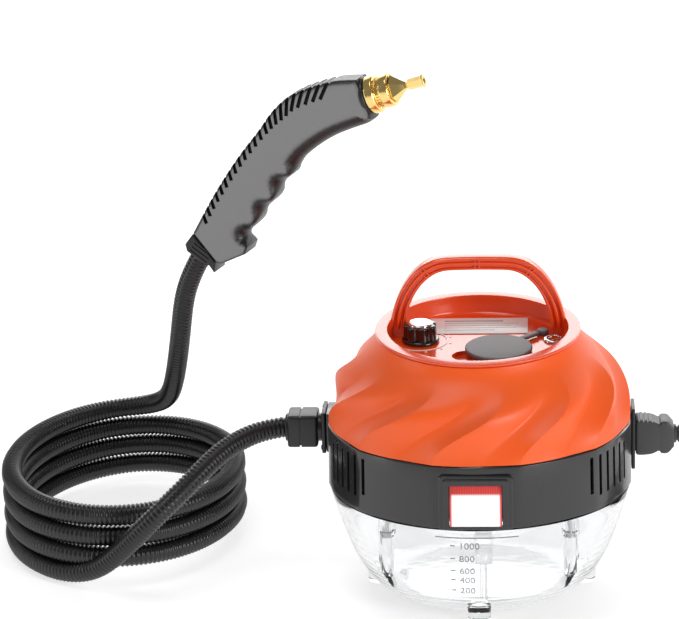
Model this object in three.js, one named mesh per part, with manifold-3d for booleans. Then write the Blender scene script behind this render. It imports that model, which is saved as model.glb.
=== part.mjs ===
// A portable steam cleaner of the kind used for stripping wallpaper: a clear water bowl, a black
// middle ring, an orange fluted dome with a tilted control panel and a carrying arch, a steam gun on
// a corrugated hose that lies in a coil, and a mains lead with its connector and wall plug.
// Millimetres, +Z up, the front of the base looks along -Y. The base is drawn round its own axis at
// X = Y = 0 with the floor at Z = 0, and at the end the whole object is moved so that the middle of
// the bottom of its box, measured without the hose and the mains lead, is the origin.
import * as THREE from 'three';
import { mergeVertices } from 'three/addons/utils/BufferGeometryUtils.js';
import Module from 'manifold-3d';

const wasm = await Module();
wasm.setup();

// ---------------------------------------------------------------- driving dimensions
const GAP = 0.3;                    // clearance between neighbours
const ROUND = 40;                   // sides of the large round parts

const BASE_R = 112;                 // widest radius of the dome, at the seam
const SEAM_Z = 130.4;               // dome to middle ring
const RING_Z = 83.4;                // middle ring to bowl
const RING_R = 113;                 // middle ring, outside
const RING_WALL = 2;
const PLATE_Z = 91.3;               // underside of the chassis plate
const PLATE_T = 2.5;

const BOWL_FLAT_R = 58;             // flat bottom of the bowl
const BOWL_FLAT_Z = 3;
const BOWL_WALL = 2.8;
const FOOT_RING_R = 77;
const FOOT_R = 8.5;
const POST_RING_R = 93;             // screw posts, on the diagonals
const POST_R = 5.8;

const RIM_Z = 199.7;                // control panel plane at the axis
const RIM_TILT = THREE.MathUtils.degToRad(4.2);
const RIM_R = 75.4;
const PAN_R = 66.4;                 // edge of the sunk deck
const DECK_R = 65;
const DECK_DEPTH = 14;
const PANEL_T = 2.2;

const FLUTES = 11;
const FLUTE_PHASE = -16.3;          // degrees from the front to one crease, to the right
const FLUTE_TWIST = 29;             // degrees that a crease leans over on its way up
const FLUTE_DEPTH = 1.5;

const KNOB_AT = [-42.5, 8];         // places on the deck, x and y in the panel's own plane
const CAP_AT = [15.5, -14];
const LAMP_AT = [55.6, 7.5];
const NOTCH_AT = [-9, -22];
const STRAP_END = [47.5, 20];
const STRAP_SWING = 5.4;            // room for the strap's end to swing clear of its anchor
const CAP_R = 24.6;
const NECK_R = 16;

const HANDLE_Y = 15;                // front face of the arch
const HANDLE_DEPTH = 14;

const SWITCH_Z = 103.6;

const HOSE_PORT = [25, 114];        // y and z of the hose coupling, on the left
const POWER_PORT = [18, 109.9];     // y and z of the power inlet, on the right

const HOSE_R = 8.25;
const COIL_AT = [-284, 105];        // middle of the hose coil
const COIL_A = 88;                  // half width and half depth of its turns, at the hose's middle
const COIL_B = 118;
const COIL_H = 66;

const GUN_AT = [-149.8, 90, 313.5];
const GUN_YAW = THREE.MathUtils.degToRad(-15);
const GUN_HALF = 14;                // half thickness of the gun
const NOZZLE_FROM = [65.5, 43];     // nozzle axis in the gun's own plane
const NOZZLE_LEAN = THREE.MathUtils.degToRad(17);

const LEAD_R = 3.5;
const LEAD_COIL_AT = [236, 62];
const LEAD_COIL_IN = 32;
const LEAD_COIL_OUT = 46;
const LEAD_COIL_Z = 1.2;
const LEAD_COIL_TOP = 22.2;

// ---------------------------------------------------------------- materials
const plastic = (color, roughness = 0.45) => new THREE.MeshStandardMaterial({ color, roughness, metalness: 0 });
const metal = (color, roughness = 0.3) => new THREE.MeshStandardMaterial({ color, roughness, metalness: 1 });
const clear = () => new THREE.MeshStandardMaterial(
  { color: 0xeef2f4, roughness: 0.08, metalness: 0, transparent: true, opacity: 0.35 });
const ORANGE = 0xf0501c;
const BLACK = 0x2b2b2d;
const RUBBER = 0x3c3d40;

// ---------------------------------------------------------------- geometry helpers
function signedVolume(position, index) {
  const a = new THREE.Vector3();
  const b = new THREE.Vector3();
  const c = new THREE.Vector3();
  let volume = 0;
  for (let i = 0; i < index.length; i += 3) {
    a.fromBufferAttribute(position, index[i]);
    b.fromBufferAttribute(position, index[i + 1]);
    c.fromBufferAttribute(position, index[i + 2]);
    volume += a.dot(b.cross(c));
  }
  return volume;
}

// Positions only, welded, without collapsed triangles, faces turned outward.
function closed(source) {
  const bare = source.clone();
  bare.deleteAttribute('normal');
  bare.deleteAttribute('uv');
  const welded = mergeVertices(bare, 1e-3);
  const index = [];
  for (let i = 0; i < welded.index.count; i += 3) {
    const [a, b, c] = [0, 1, 2].map((k) => welded.index.getX(i + k));
    if (a !== b && b !== c && c !== a) index.push(a, b, c);
  }
  if (signedVolume(welded.attributes.position, index) < 0) {
    for (let i = 0; i < index.length; i += 3) [index[i], index[i + 1]] = [index[i + 1], index[i]];
  }
  welded.setIndex(index);
  return welded;
}

function toSolid(geometry) {
  const g = closed(geometry);
  return new wasm.Manifold(new wasm.Mesh({
    numProp: 3,
    vertProperties: new Float32Array(g.attributes.position.array),
    triVerts: new Uint32Array(g.index.array),
  }));
}

function toGeometry(manifold) {
  const m = manifold.getMesh();
  const g = new THREE.BufferGeometry();
  g.setAttribute('position', new THREE.BufferAttribute(new Float32Array(m.vertProperties), 3));
  g.setIndex(Array.from(m.triVerts));
  g.computeVertexNormals();
  return g;
}

const join = (...g) => toGeometry(g.map(toSolid).reduce((a, b) => a.add(b)));
const cut = (from, ...g) => toGeometry(g.map(toSolid).reduce((a, b) => a.subtract(b), toSolid(from)));
const common = (a, b) => toGeometry(toSolid(a).intersect(toSolid(b)));

const v2 = (pairs) => pairs.map(([x, y]) => new THREE.Vector2(x, y));
const v3 = (rows) => rows.map(([x, y, z]) => new THREE.Vector3(x, y, z));

// A turned part: [radius, z] pairs round the Z axis. A profile that doesn't touch the axis closes on itself.
function turned(profile, sides = ROUND) {
  const onAxis = profile[0][0] === 0 && profile.at(-1)[0] === 0;
  const points = v2(onAxis ? profile : [...profile, profile[0]]);
  return new THREE.LatheGeometry(points, sides).rotateX(Math.PI / 2);
}

const ring = (inner, outer, low, high, sides = ROUND) =>
  turned([[inner, low], [outer, low], [outer, high], [inner, high]], sides);
const rod = (radius, low, high, sides = 20) =>
  turned([[0, low], [radius, low], [radius, high], [0, high]], sides);
const block = (x0, x1, y0, y1, z0, z1) => new THREE.BoxGeometry(x1 - x0, y1 - y0, z1 - z0)
  .translate((x0 + x1) / 2, (y0 + y1) / 2, (z0 + z1) / 2);
const alongX = (g) => g.rotateY(Math.PI / 2);

// A plate or bar: an outline in X and Z, given a thickness in Y from y0 to y1.
function slab(shape, y0, y1, curveSegments = 6) {
  return new THREE.ExtrudeGeometry(shape, { depth: y1 - y0, bevelEnabled: false, curveSegments })
    .rotateX(Math.PI / 2).translate(0, y1, 0);
}

// A round bar along a curve.
function tube(points, radius, sides = 8, steps = 24) {
  const section = new THREE.Shape();
  section.absarc(0, 0, radius, 0, Math.PI * 2, false);
  const path = new THREE.CatmullRomCurve3(v3(points), false, 'centripetal');
  return new THREE.ExtrudeGeometry(section,
    { extrudePath: path, steps, bevelEnabled: false, curveSegments: sides / 2 });
}

const model = new THREE.Group();    // everything, in the base's own place
const panel = new THREE.Group();    // what lies in the tilted control panel's plane
panel.position.z = RIM_Z;
panel.rotation.x = RIM_TILT;
const gun = new THREE.Group();      // the steam gun, drawn in its own X and Z plane
gun.position.set(...GUN_AT);
gun.rotation.z = GUN_YAW;
model.add(panel, gun);

function put(name, geometry, material, parent = model) {
  const mesh = new THREE.Mesh(closed(geometry), material);
  mesh.name = name;
  parent.add(mesh);
  return mesh;
}

// ---------------------------------------------------------------- water bowl and its seal
const bowlOuter = (z) => BOWL_FLAT_R + (RING_R - 1 - BOWL_FLAT_R) * ((z - BOWL_FLAT_Z) / 79.5) ** 0.365;
const bowlInner = (z) => BOWL_FLAT_R - 2.5 + 52.5 * ((z - BOWL_FLAT_Z - BOWL_WALL) / 77) ** 0.365;
const diagonals = [45, 135, 225, 315].map((a) => THREE.MathUtils.degToRad(a));
const atPost = (g, angle) => g.translate(POST_RING_R * Math.cos(angle), POST_RING_R * Math.sin(angle), 0);

function tankBowl() {
  const outside = [3.2, 5.5, 11, 21, 36, 56, 82.4].map((z) => [bowlOuter(z), z]);
  const inside = [6, 8.3, 13.8, 23.8, 38, 58, 82.8].map((z) => [bowlInner(z), z]);
  const spigot = [[110.6, 83], [110.6, 89]];
  const whole = turned([[0, BOWL_FLAT_Z], [BOWL_FLAT_R - 4, BOWL_FLAT_Z], ...outside, ...spigot, [0, 89]]);
  const floor = BOWL_FLAT_Z + BOWL_WALL;
  const hollow = turned([[0, floor], [50, floor], ...inside, [108, 95], [0, 95]]);
  const feet = [0, 1, 2, 3].map((k) => turned([[0, 0], [FOOT_R - 1, 0], [FOOT_R, 1], [FOOT_R, 17], [0, 17]], 12)
    .translate(FOOT_RING_R, 0, 0).rotateZ(k * Math.PI / 2));
  const posts = diagonals.map((a) => common(whole, atPost(rod(POST_R, 10, 82.5, 12), a)));
  const bores = diagonals.map((a) => atPost(
    turned([[0, 5], [3.6, 5], [3.6, 66], [2.2, 66], [2.2, 90], [0, 90]], 12), a));
  return cut(join(cut(join(whole, ...feet), hollow), ...posts), ...bores);
}
put('tank_bowl', tankBowl(), clear());
put('tank_seal', ring(108.2, 110.4, 89.3, 91), plastic(0x6b6d70, 0.8));

// ---------------------------------------------------------------- chassis plate with its screw bosses
const neckFoot = [CAP_AT[0], CAP_AT[1] + 7.6];      // where the leaning filler neck meets the plate
const suctionAt = [0, 68];
function chassisPlate() {
  const disc = rod(110.6, PLATE_Z, PLATE_Z + PLATE_T, ROUND);
  const bosses = diagonals.map((a) => atPost(rod(5.2, 82.8, PLATE_Z + 1, 12), a));
  const holes = diagonals.map((a) => atPost(rod(1.9, 80, 100, 10), a));
  holes.push(rod(NECK_R + GAP + 0.4, 80, 100, 24).translate(...neckFoot, 0));
  holes.push(rod(4.4, 80, 100, 12).translate(...suctionAt, 0));
  return cut(join(disc, ...bosses), ...holes);
}
put('chassis_plate', chassisPlate(), plastic(BLACK, 0.6));
diagonals.forEach((a, k) => {
  const screw = turned([[0, 62], [3.2, 62], [3.2, 65.6], [1.5, 65.6], [1.5, 92.5], [0, 92.5]], 10);
  put(`housing_screw_${k + 1}`, atPost(screw, a), metal(0x9a9ca0, 0.35));
});

// ---------------------------------------------------------------- middle ring
const ventAngles = [-48, -43, -38, -33, -28, -23].map((a) => THREE.MathUtils.degToRad(a));
function middleRing() {
  const inside = RING_R - RING_WALL;
  const wall = turned([
    [RING_R, RING_Z], [RING_R, 90], [BASE_R + 0.2, SEAM_Z - GAP], [inside - 1, SEAM_Z - GAP],
    [inside, 96.4], [103, 96.4], [103, PLATE_Z + PLATE_T + GAP], [inside, PLATE_Z + PLATE_T + GAP],
    [inside, RING_Z]], ROUND);
  const switchFrame = cut(block(-27, 26.4, -113.8, -105, RING_Z + 0.4, 124.4), rod(inside, 70, 94.2, ROUND));
  const hoseSeat = block(-115, -104, HOSE_PORT[0] - 15, HOSE_PORT[0] + 15, 99, 129);
  const powerSeat = block(104, 112.4, POWER_PORT[0] - 14, POWER_PORT[0] + 14, 97, 130);
  const powerFlat = block(112.4, 120, POWER_PORT[0] - 14, POWER_PORT[0] + 14, 80, 140);
  const switchHole = block(-22, 21.4, -120, -95, SWITCH_Z - 17.8, SWITCH_Z + 16.2);
  const hoseHole = alongX(rod(13.3, -125, -95, 20)).translate(0, ...HOSE_PORT);
  const powerHole = block(95, 125, POWER_PORT[0] - 11.4, POWER_PORT[0] + 11.4,
    POWER_PORT[1] - 13.8, POWER_PORT[1] + 13.8);
  const slots = ventAngles.flatMap((a) => [a, Math.PI - a].map((angle) =>
    block(108, 116, -1.3, 1.3, 94, 124).rotateZ(angle)));
  return cut(join(wall, switchFrame, hoseSeat, powerSeat),
    powerFlat, switchHole, hoseHole, powerHole, ...slots);
}
put('mid_ring', middleRing(), plastic(0x4a4b4e, 0.35));

// ---------------------------------------------------------------- dome cover
// The flutes: at each height the surface stands proud just after a crease and falls away to the next.
const smooth = (x) => THREE.MathUtils.smoothstep(x, 0, 1);
function fluteLift(angleDegrees, z) {
  const t = (z - SEAM_Z) / (RIM_Z - SEAM_Z);
  const twist = FLUTE_TWIST * smooth(t / 0.75);
  const period = 360 / FLUTES;
  const phase = THREE.MathUtils.euclideanModulo(angleDegrees - FLUTE_PHASE - twist, period) / period;
  const wave = phase < 0.8 ? 1 - 2 * smooth(phase / 0.8) : -1 + 2 * smooth((phase - 0.8) / 0.2);
  const strength = 0.25 + 0.75 * Math.sin(Math.PI * Math.min(1, 0.1 + t * 0.95));
  return wave * FLUTE_DEPTH * strength * (1 - smooth((t - 0.6) / 0.35));
}
function domeCover() {
  const outside = [[111.8, SEAM_Z], [109.8, 140], [107, 151.5], [103.4, 161], [98.4, 169.5], [91, 178],
    [84, 184.5], [78.4, 190.5], [75.4, 197]];
  const inside = [[72.4, 197], [75.4, 188.5], [81.4, 182.3], [88.6, 175.5], [96, 167], [101.5, 158],
    [105.6, 146], [108.6, SEAM_Z]];
  const shell = closed(turned([...outside, ...inside], FLUTES * 5));
  const p = shell.attributes.position;
  for (let i = 0; i < p.count; i += 1) {
    const [x, y, z] = [p.getX(i), p.getY(i), p.getZ(i)];
    const radius = Math.hypot(x, y);
    const lifted = 1 + (fluteLift(THREE.MathUtils.radToDeg(Math.atan2(x, -y)), z) - 0.3) / radius;
    const leaning = y * Math.tan(RIM_TILT) * smooth((z - 145) / 52);
    p.setXYZ(i, x * lifted, y * lifted, z + leaning);
  }
  return shell;
}
put('dome_cover', domeCover(), plastic(ORANGE, 0.4));

// ---------------------------------------------------------------- control panel, in its tilted plane
const deckZ = -DECK_DEPTH;
const at = (g, [x, y], z = 0) => g.translate(x, y, z);
function controlPanel() {
  const pan = turned([
    [0, deckZ - PANEL_T], [DECK_R + 1.5, deckZ - PANEL_T], [PAN_R + PANEL_T, -PANEL_T], [RIM_R, -PANEL_T],
    [RIM_R, -0.6], [RIM_R - 0.8, 0], [PAN_R, 0], [DECK_R + 0.4, deckZ + 1.2], [DECK_R - 1.2, deckZ],
    [0, deckZ]]);
  const holes = [
    at(rod(5, -20, -5, 16), KNOB_AT),
    at(rod(NECK_R + GAP, -20, -5, 24), CAP_AT),
    at(rod(6.4, -20, -5, 16), LAMP_AT),
    at(rod(2.3, -20, -5, 12), STRAP_END),
    at(rod(9.5, deckZ - 1.3, -5, 20), NOTCH_AT),
  ];
  return cut(pan, ...holes);
}
put('control_panel', controlPanel(), plastic(ORANGE, 0.18), panel);
put('rating_label', block(-37, 36.5, 21, 52.5, deckZ + GAP, deckZ + GAP + 0.5), plastic(0xf4f4f2, 0.4), panel);
put('dial_ring', cut(at(ring(15.6, 20.6, deckZ + GAP, deckZ + GAP + 0.4, 32), KNOB_AT),
  block(-70, -45, 8, 40, -20, 0), block(-60, 0, 20.4, 40, -20, 0)), plastic(0xd9d6d2, 0.4), panel);

// steam knob, its bright cap and the regulator below the deck
function scalloped(radius, lobes, depth, low, high) {
  const shape = new THREE.Shape();
  const count = lobes * 6;
  for (let i = 0; i < count; i += 1) {
    const a = (i / count) * Math.PI * 2;
    const r = radius - depth * (0.5 + 0.5 * Math.cos(lobes * a)) ** 2;
    if (i === 0) shape.moveTo(r * Math.cos(a), r * Math.sin(a));
    else shape.lineTo(r * Math.cos(a), r * Math.sin(a));
  }
  return new THREE.ExtrudeGeometry(shape, { depth: high - low, bevelEnabled: false }).translate(0, 0, low);
}
put('steam_knob', at(join(
  rod(14, deckZ + 0.9, deckZ + 2.9, 28), scalloped(12.2, 7, 1.8, deckZ + 2.5, deckZ + 13.6),
  rod(2.9, deckZ - 6, deckZ + 1.5, 12)), KNOB_AT), plastic(0x161617, 0.25), panel);
put('knob_cap', at(turned([[0, deckZ + 13.9], [9, deckZ + 13.9], [9, deckZ + 14.6], [7.5, deckZ + 15.2],
  [0, deckZ + 15.4]], 24), KNOB_AT), metal(0xe6e6e6, 0.15), panel);
put('steam_regulator', at(join(
  rod(12, deckZ - 22, deckZ - 8.5, 20), ring(3.3, 4.6, deckZ - 9, deckZ - 0.4, 16)), KNOB_AT),
plastic(0x8a8f96, 0.4), panel);

// filler neck and its rubber cap on a strap
const neckLow = deckZ - 96.5;
put('filler_neck', at(ring(NECK_R - 2.2, NECK_R, neckLow, deckZ - 0.2, 24), CAP_AT), plastic(0x2f2f31, 0.5),
  panel);
const strapTurn = Math.atan2(STRAP_END[1] - CAP_AT[1], STRAP_END[0] - CAP_AT[0]);
const strapLength = Math.hypot(STRAP_END[0] - CAP_AT[0], STRAP_END[1] - CAP_AT[1]);
function fillerCap() {
  const disc = turned([[0, deckZ + 1.2], [CAP_R - 0.6, deckZ + 1.2], [CAP_R, deckZ + 1.8], [CAP_R, deckZ + 3.6],
    [CAP_R - 0.8, deckZ + 4.2], [0, deckZ + 4.2]], 36);
  const stopper = ring(10, NECK_R - 2.5, deckZ - 5, deckZ + 1.6, 24);
  const strap = block(CAP_R - 4, strapLength - STRAP_SWING, -2.4, 2.4, deckZ + 1.4, deckZ + 4);
  return at(join(disc, stopper, strap).rotateZ(strapTurn), CAP_AT);
}
put('filler_cap', fillerCap(), plastic(RUBBER, 0.7), panel);
put('cap_anchor', at(turned([[0, deckZ - 3.4], [2, deckZ - 3.4], [2, deckZ + 0.3], [4.3, deckZ + 0.3],
  [4.3, deckZ + 4], [0, deckZ + 4]], 16), STRAP_END), plastic(RUBBER, 0.7), panel);

// indicator lamp
put('indicator_bezel', at(turned([[5.2, deckZ - 5], [6, deckZ - 5], [6, deckZ + 0.3], [7.6, deckZ + 0.3],
  [7.6, deckZ + 0.9], [6.9, deckZ + 1.9], [5.2, deckZ + 1.9]], 24), LAMP_AT), metal(0xdedede, 0.15), panel);
put('indicator_lens', at(turned([[0, deckZ - 2], [4.9, deckZ - 2], [4.9, deckZ + 1.8], [3, deckZ + 2.9],
  [0, deckZ + 3.2]], 20), LAMP_AT), clear(), panel);

// ---------------------------------------------------------------- carrying arch
function archShape() {
  const outer = [[65.4, 193.5], [65, 199], [63.4, 206.5], [60.6, 215], [56, 225], [49.5, 234.3], [43, 240.8],
    [36, 245.2], [28.5, 247.5]];
  const inner = [[54, 193.5], [53.2, 200], [51.4, 208], [48.9, 215.5], [45.4, 222], [40.6, 228.3],
    [34.6, 233.6], [27, 237.6]];
  const neckIn = [[54.8, 184], [54.8, 193.5]];
  const neckOut = [[64.4, 184], [64.4, 193.5]];
  const right = [...neckOut, ...outer];
  const rightInside = [...neckIn, ...inner].reverse();
  const mirrored = (list) => list.map(([x, z]) => [-x, z]).reverse();
  return new THREE.Shape(v2([...right, ...mirrored(right), ...mirrored(rightInside), ...rightInside]));
}
function carryHandle() {
  const inPanel = (g) => g.rotateX(RIM_TILT).translate(0, 0, RIM_Z);
  const below = inPanel(block(-90, 90, -90, 90, -60, deckZ + GAP));
  const wall = inPanel(turned([[63.2, deckZ - 1], [90, deckZ - 1], [90, GAP], [PAN_R - 0.5, GAP],
    [DECK_R - 0.2, deckZ + 1.7], [63.2, deckZ + 0.6]]));
  const arch = slab(archShape(), HANDLE_Y, HANDLE_Y + HANDLE_DEPTH);
  const thin = [-1, 1].map((s) => block(s * 50 - 20, s * 50 + 20, HANDLE_Y - 5, HANDLE_Y + 1, 150, 193.5));
  return cut(arch, below, wall, ...thin);
}
put('carry_handle', carryHandle(), plastic(ORANGE, 0.3));

// ---------------------------------------------------------------- power switch
function switchHousing() {
  const bezel = block(-23.6, 23, -115.6, -114.1, SWITCH_Z - 18.6, SWITCH_Z + 18.6);
  const collar = block(-21.6, 21, -114.5, -111.3, SWITCH_Z - 17.4, SWITCH_Z + 15.8);
  const body = block(-21.6, 21, -114.5, -90, SWITCH_Z - 6.4, SWITCH_Z + 15.8);
  const slot = block(-19.2, 18.6, -120, -109, SWITCH_Z - 16.7, SWITCH_Z - 5.1);
  const well = block(-19.2, 18.6, -120, -97, SWITCH_Z - 5.2, SWITCH_Z + 14.4);
  return cut(join(bezel, collar, body), slot, well);
}
put('switch_housing', switchHousing(), plastic(0x1d1d1f, 0.4));
function rocker() {
  // side view in y and z: two faces that meet in a shallow ridge, over a round back
  const side = new THREE.Shape(v2([[-119.2, SWITCH_Z - 15], [-116.2, SWITCH_Z + 0.4], [-113.4, SWITCH_Z + 13.6],
    [-111.5, SWITCH_Z + 13.4], [-104.5, SWITCH_Z + 6.4], [-102.5, SWITCH_Z - 1.6], [-104.5, SWITCH_Z - 4.7],
    [-113, SWITCH_Z - 4.7], [-114.8, SWITCH_Z - 7.6], [-115.2, SWITCH_Z - 15]].reverse()));
  return new THREE.ExtrudeGeometry(side, { depth: 36.8, bevelEnabled: false })
    .applyMatrix4(new THREE.Matrix4().makeBasis(new THREE.Vector3(0, 1, 0), new THREE.Vector3(0, 0, 1),
      new THREE.Vector3(1, 0, 0))).translate(-18.7, 0, 0);
}
put('power_rocker', rocker(), plastic(0xd8362c, 0.2));
['left', 'right'].forEach((side, k) => put(`switch_terminal_${side}`,
  block(-12 + k * 20, -5.4 + k * 20, -89.7, -80, SWITCH_Z - 0.5, SWITCH_Z + 0.5), metal(0xcfcfc8, 0.35)));

// ---------------------------------------------------------------- inside: boiler, pump and controls
const floorZ = PLATE_Z + PLATE_T + GAP;
put('boiler_body', join(
  block(-60, -12, -62, -22, floorZ + 6, floorZ + 30), block(-56, -50, -58, -52, floorZ, floorZ + 7),
  block(-22, -16, -58, -52, floorZ, floorZ + 7), block(-56, -50, -32, -26, floorZ, floorZ + 7),
  block(-22, -16, -32, -26, floorZ, floorZ + 7)), metal(0xa9abad, 0.5));
put('heating_element', cut(
  ring(9, 15, floorZ + 30.3, floorZ + 36, 24).translate(-36, -42, 0),
  block(-40, -32, -70, -45, floorZ + 29, floorZ + 40)), metal(0x8d8478, 0.4));
put('boiler_thermostat', rod(8, floorZ + 6, floorZ + 13, 16).rotateY(Math.PI / 2)
  .translate(-60.3 - floorZ - 13, -42, floorZ + 18), metal(0xb5b5b0, 0.3));
put('pump_body', alongX(rod(10, 20, 66, 16)).translate(0, 44, floorZ + 16), plastic(0xe6e4dc, 0.4));
put('pump_coil', cut(block(30, 54, 28, 60, floorZ, floorZ + 32),
  alongX(rod(10.3, 20, 66, 16)).translate(0, 44, floorZ + 16)), metal(0x6f7276, 0.45));
put('suction_tube', tube([[19.4, 44, floorZ + 16], [12, 45, floorZ + 16.5], [3, 57, floorZ + 15],
  [0, 66.6, floorZ + 8], [0, 68, floorZ + 1], [0, 68, 80], [0, 68, 50], [0, 68, 24.6]], 3, 8, 24),
plastic(0xf0f0ec, 0.3));
put('suction_strainer', rod(7, 13.5, 24.2, 16).translate(...suctionAt, 0), plastic(0xd7d9da, 0.5));
put('feed_tube', tube([[66.5, 44, floorZ + 16], [70, 44, floorZ + 16], [77, 40, floorZ + 19],
  [78, 30, floorZ + 25], [66, 8, floorZ + 36], [40, -10, floorZ + 40], [34, -38, floorZ + 36],
  [14, -45, floorZ + 25], [-2, -42, floorZ + 18], [-10.9, -42, floorZ + 18]], 2.6, 8, 32),
plastic(0xe9e6dd, 0.35));
put('steam_tube', tube([[-52, -21.2, floorZ + 18], [-52, -12, floorZ + 18], [-60, 10, floorZ + 19],
  [-76, 24, HOSE_PORT[1]], [-88, ...HOSE_PORT], [-96.4, ...HOSE_PORT]], 3.2, 8, 20),
plastic(0xd9d4c8, 0.4));
put('control_board', block(-46, -6, 62, 64, floorZ, floorZ + 34), plastic(0x1f6b3a, 0.5));

// ---------------------------------------------------------------- hose gland and coupling, on the left
const atHosePort = (g) => g.translate(0, ...HOSE_PORT);
const hoseGland = join(block(-118.4, -115.3, -15.5, 15.5, -15.8, 15.8), alongX(rod(13, -116, -97.2, 20)));
put('hose_gland', atHosePort(hoseGland), plastic(BLACK, 0.45));
const hoseCoupling = join(block(-144.6, -121.6, -12.4, 12.4, -12.4, 12.4),
  alongX(rod(10.5, -146.4, -118.7, 20)));
put('hose_coupling', atHosePort(hoseCoupling), plastic(BLACK, 0.45));

// ---------------------------------------------------------------- power inlet, on the right
const atPowerPort = (g) => g.translate(0, ...POWER_PORT);
const powerInlet = cut(
  join(block(112.7, 115.4, -13.5, 13.5, -23.4, 23.4), block(88, 113, -11, 11, -13.4, 13.4)),
  block(94, 120, -9, 9, -11.4, 11.4));
put('power_inlet', atPowerPort(powerInlet), plastic(BLACK, 0.45));
function cordConnector() {
  const nose = block(96, 117, -8.6, 8.6, -11, 11);
  const sideView = new THREE.Shape(v2([[115.7, -13.8], [128, -13.8], [134.4, -10.2], [134.4, -12.7],
    [140, -12.7], [143.6, -8], [143.6, 8], [140, 12.7], [134.4, 12.7], [134.4, 10.2], [128, 13.8], [115.7, 13.8]]));
  const body = slab(sideView, -10.5, 10.5);
  const ribs = [0, 1, 2, 3, 4].flatMap((k) => [[7 - 0.5 * k, 144 + 4 * k], [7 - 0.5 * k, 146.6 + 4 * k],
    [5.4 - 0.3 * k, 146.8 + 4 * k], [5.4 - 0.3 * k, 147.8 + 4 * k]]);
  const relief = alongX(turned([[0, 142], [7, 142], ...ribs, [0, 163.8]], 12));
  return join(nose, body, relief);
}
put('cord_connector', atPowerPort(cordConnector()), plastic(0x2f3033, 0.5));

// ---------------------------------------------------------------- steam gun
const bent = (points, n = 8) => new THREE.SplineCurve(v2(points)).getPoints(n).map((p) => [p.x, p.y]);
function gunOutline() {
  const back = bent([[-69.5, -66], [-52.4, -36.7], [-31.2, -5.6], [-11.9, 18.3], [-1.6, 32.1], [12.7, 44.7],
    [26.8, 51.3], [47.6, 57.4], [66.5, 59.2]], 20);
  const belly = bent([[77.8, 29], [73.9, 25.6], [60.1, 20.3], [46.2, 14.3], [32.1, 5.6], [19.3, -5.1],
    [15.6, -11.3]], 12);
  const crests = [[12.6, -16.4], [-2, -36], [-17.2, -55.6]];
  const hollows = [[3.4, -23.2], [-11, -43.8], [-27.6, -66]];
  const grips = crests.flatMap((c, k) => [c, hollows[k]]);
  const heel = [[-25.1, -75], [-27.2, -80.6], [-46.9, -89.5], [-51.1, -88.3]];
  return [...back, ...belly, ...bent([...grips, heel[0]], 18), ...heel.slice(1)];
}
const gunBody = () => slab(new THREE.Shape(v2(gunOutline())), -GUN_HALF, GUN_HALF);
const gunLine = [[-62, 0, -79], [-56, 0, -71.5], [-42, 0, -52], [-24, 0, -22], [-4, 0, 6], [20, 0, 27],
  [44, 0, 36.5], [80, 0, 47.5]];
const gunScrews = [[-40, -70], [44, 23]];
const alongNozzle = (g) => g.rotateY(Math.PI / 2 - NOZZLE_LEAN).translate(NOZZLE_FROM[0], 0, NOZZLE_FROM[1]);
function gunHalf(side) {
  const keep = side > 0 ? block(-100, 100, GAP / 2, 40, -120, 90) : block(-100, 100, -40, -GAP / 2, -120, 90);
  const recess = alongNozzle(rod(12.3, 4.4, 30, 24));
  const holes = side > 0 ? gunScrews.map(([x, z]) => turned([[0, -1], [1.7, -1], [1.7, 10.8], [3.2, 10.8],
    [3.2, 20], [0, 20]], 10).rotateX(-Math.PI / 2).translate(x, 0, z)) : [];
  return cut(common(gunBody(), keep), tube(gunLine, 7, 12, 16), recess, ...holes);
}
put('gun_shell_front', gunHalf(-1), plastic(0x3a3a3c, 0.4), gun);
put('gun_shell_back', gunHalf(1), plastic(0x3a3a3c, 0.4), gun);
put('gun_steam_tube', tube(gunLine.slice(1, -1), 3.2, 8, 18), metal(0xb08d57, 0.4), gun);
gunScrews.forEach(([x, z], k) => put(`gun_screw_${k + 1}`,
  turned([[0, 0.6], [1.3, 0.6], [1.3, 11.2], [2.8, 11.2], [2.8, 13.6], [0, 13.6]], 10)
    .rotateX(-Math.PI / 2).translate(x, 0, z), metal(0x8f9194, 0.35), gun));

// brass outlet: a fixed spigot, and the turning collar with its cone and tip
const brass = () => metal(0xd9b44a, 0.22);
put('nozzle_spigot', alongNozzle(turned([[0, -21.6], [6, -21.6], [6, 22.4], [0, 22.4]], 20)), brass(), gun);
put('collar_nut', alongNozzle(turned([[6.5, 4.8], [11.7, 4.8], [11.9, 8.1], [14.1, 8.2], [14.4, 14.6],
  [13.6, 15.4], [11.6, 15.8], [11.6, 19.4], [12.6, 19.8], [12.6, 26], [12, 26.6], [2.5, 26.6], [2.5, 23],
  [6.5, 23]], 20)), brass(), gun);
put('nozzle_cone', alongNozzle(turned([[1, 26.9], [10.4, 26.9], [10.4, 27.8], [3.4, 36.4], [2.8, 38], [1, 38]],
  6)), brass(), gun);
put('nozzle_tip', alongNozzle(turned([[0.9, 38.3], [2.8, 38.3], [4.3, 40.2], [4.3, 50], [4.9, 51], [4.9, 52.4],
  [2.6, 52.4], [0.9, 49.5]], 6)), brass(), gun);

// rubber boot where the hose enters the grip
const bootOut = new THREE.Vector2(-0.57, -0.82).normalize();
const BOOT_END = [-67.4, -86.6];
function gunBoot() {
  const side = new THREE.Vector2(bootOut.y, -bootOut.x);
  const end = new THREE.Vector2(...BOOT_END);
  const corner = (s, back) => [end.x + side.x * s - bootOut.x * back, end.y + side.y * s - bootOut.y * back];
  const shape = new THREE.Shape(v2([[-69.7, -66.9], [-51.9, -88.7], [-53.4, -97.6], corner(-11, 2),
    corner(-9.4, 0), corner(9.4, 0), corner(11, 2), [-76.4, -75.4]]));
  return slab(shape, -12, 12);
}
put('gun_boot', gunBoot(), plastic(0x303033, 0.5), gun);

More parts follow.
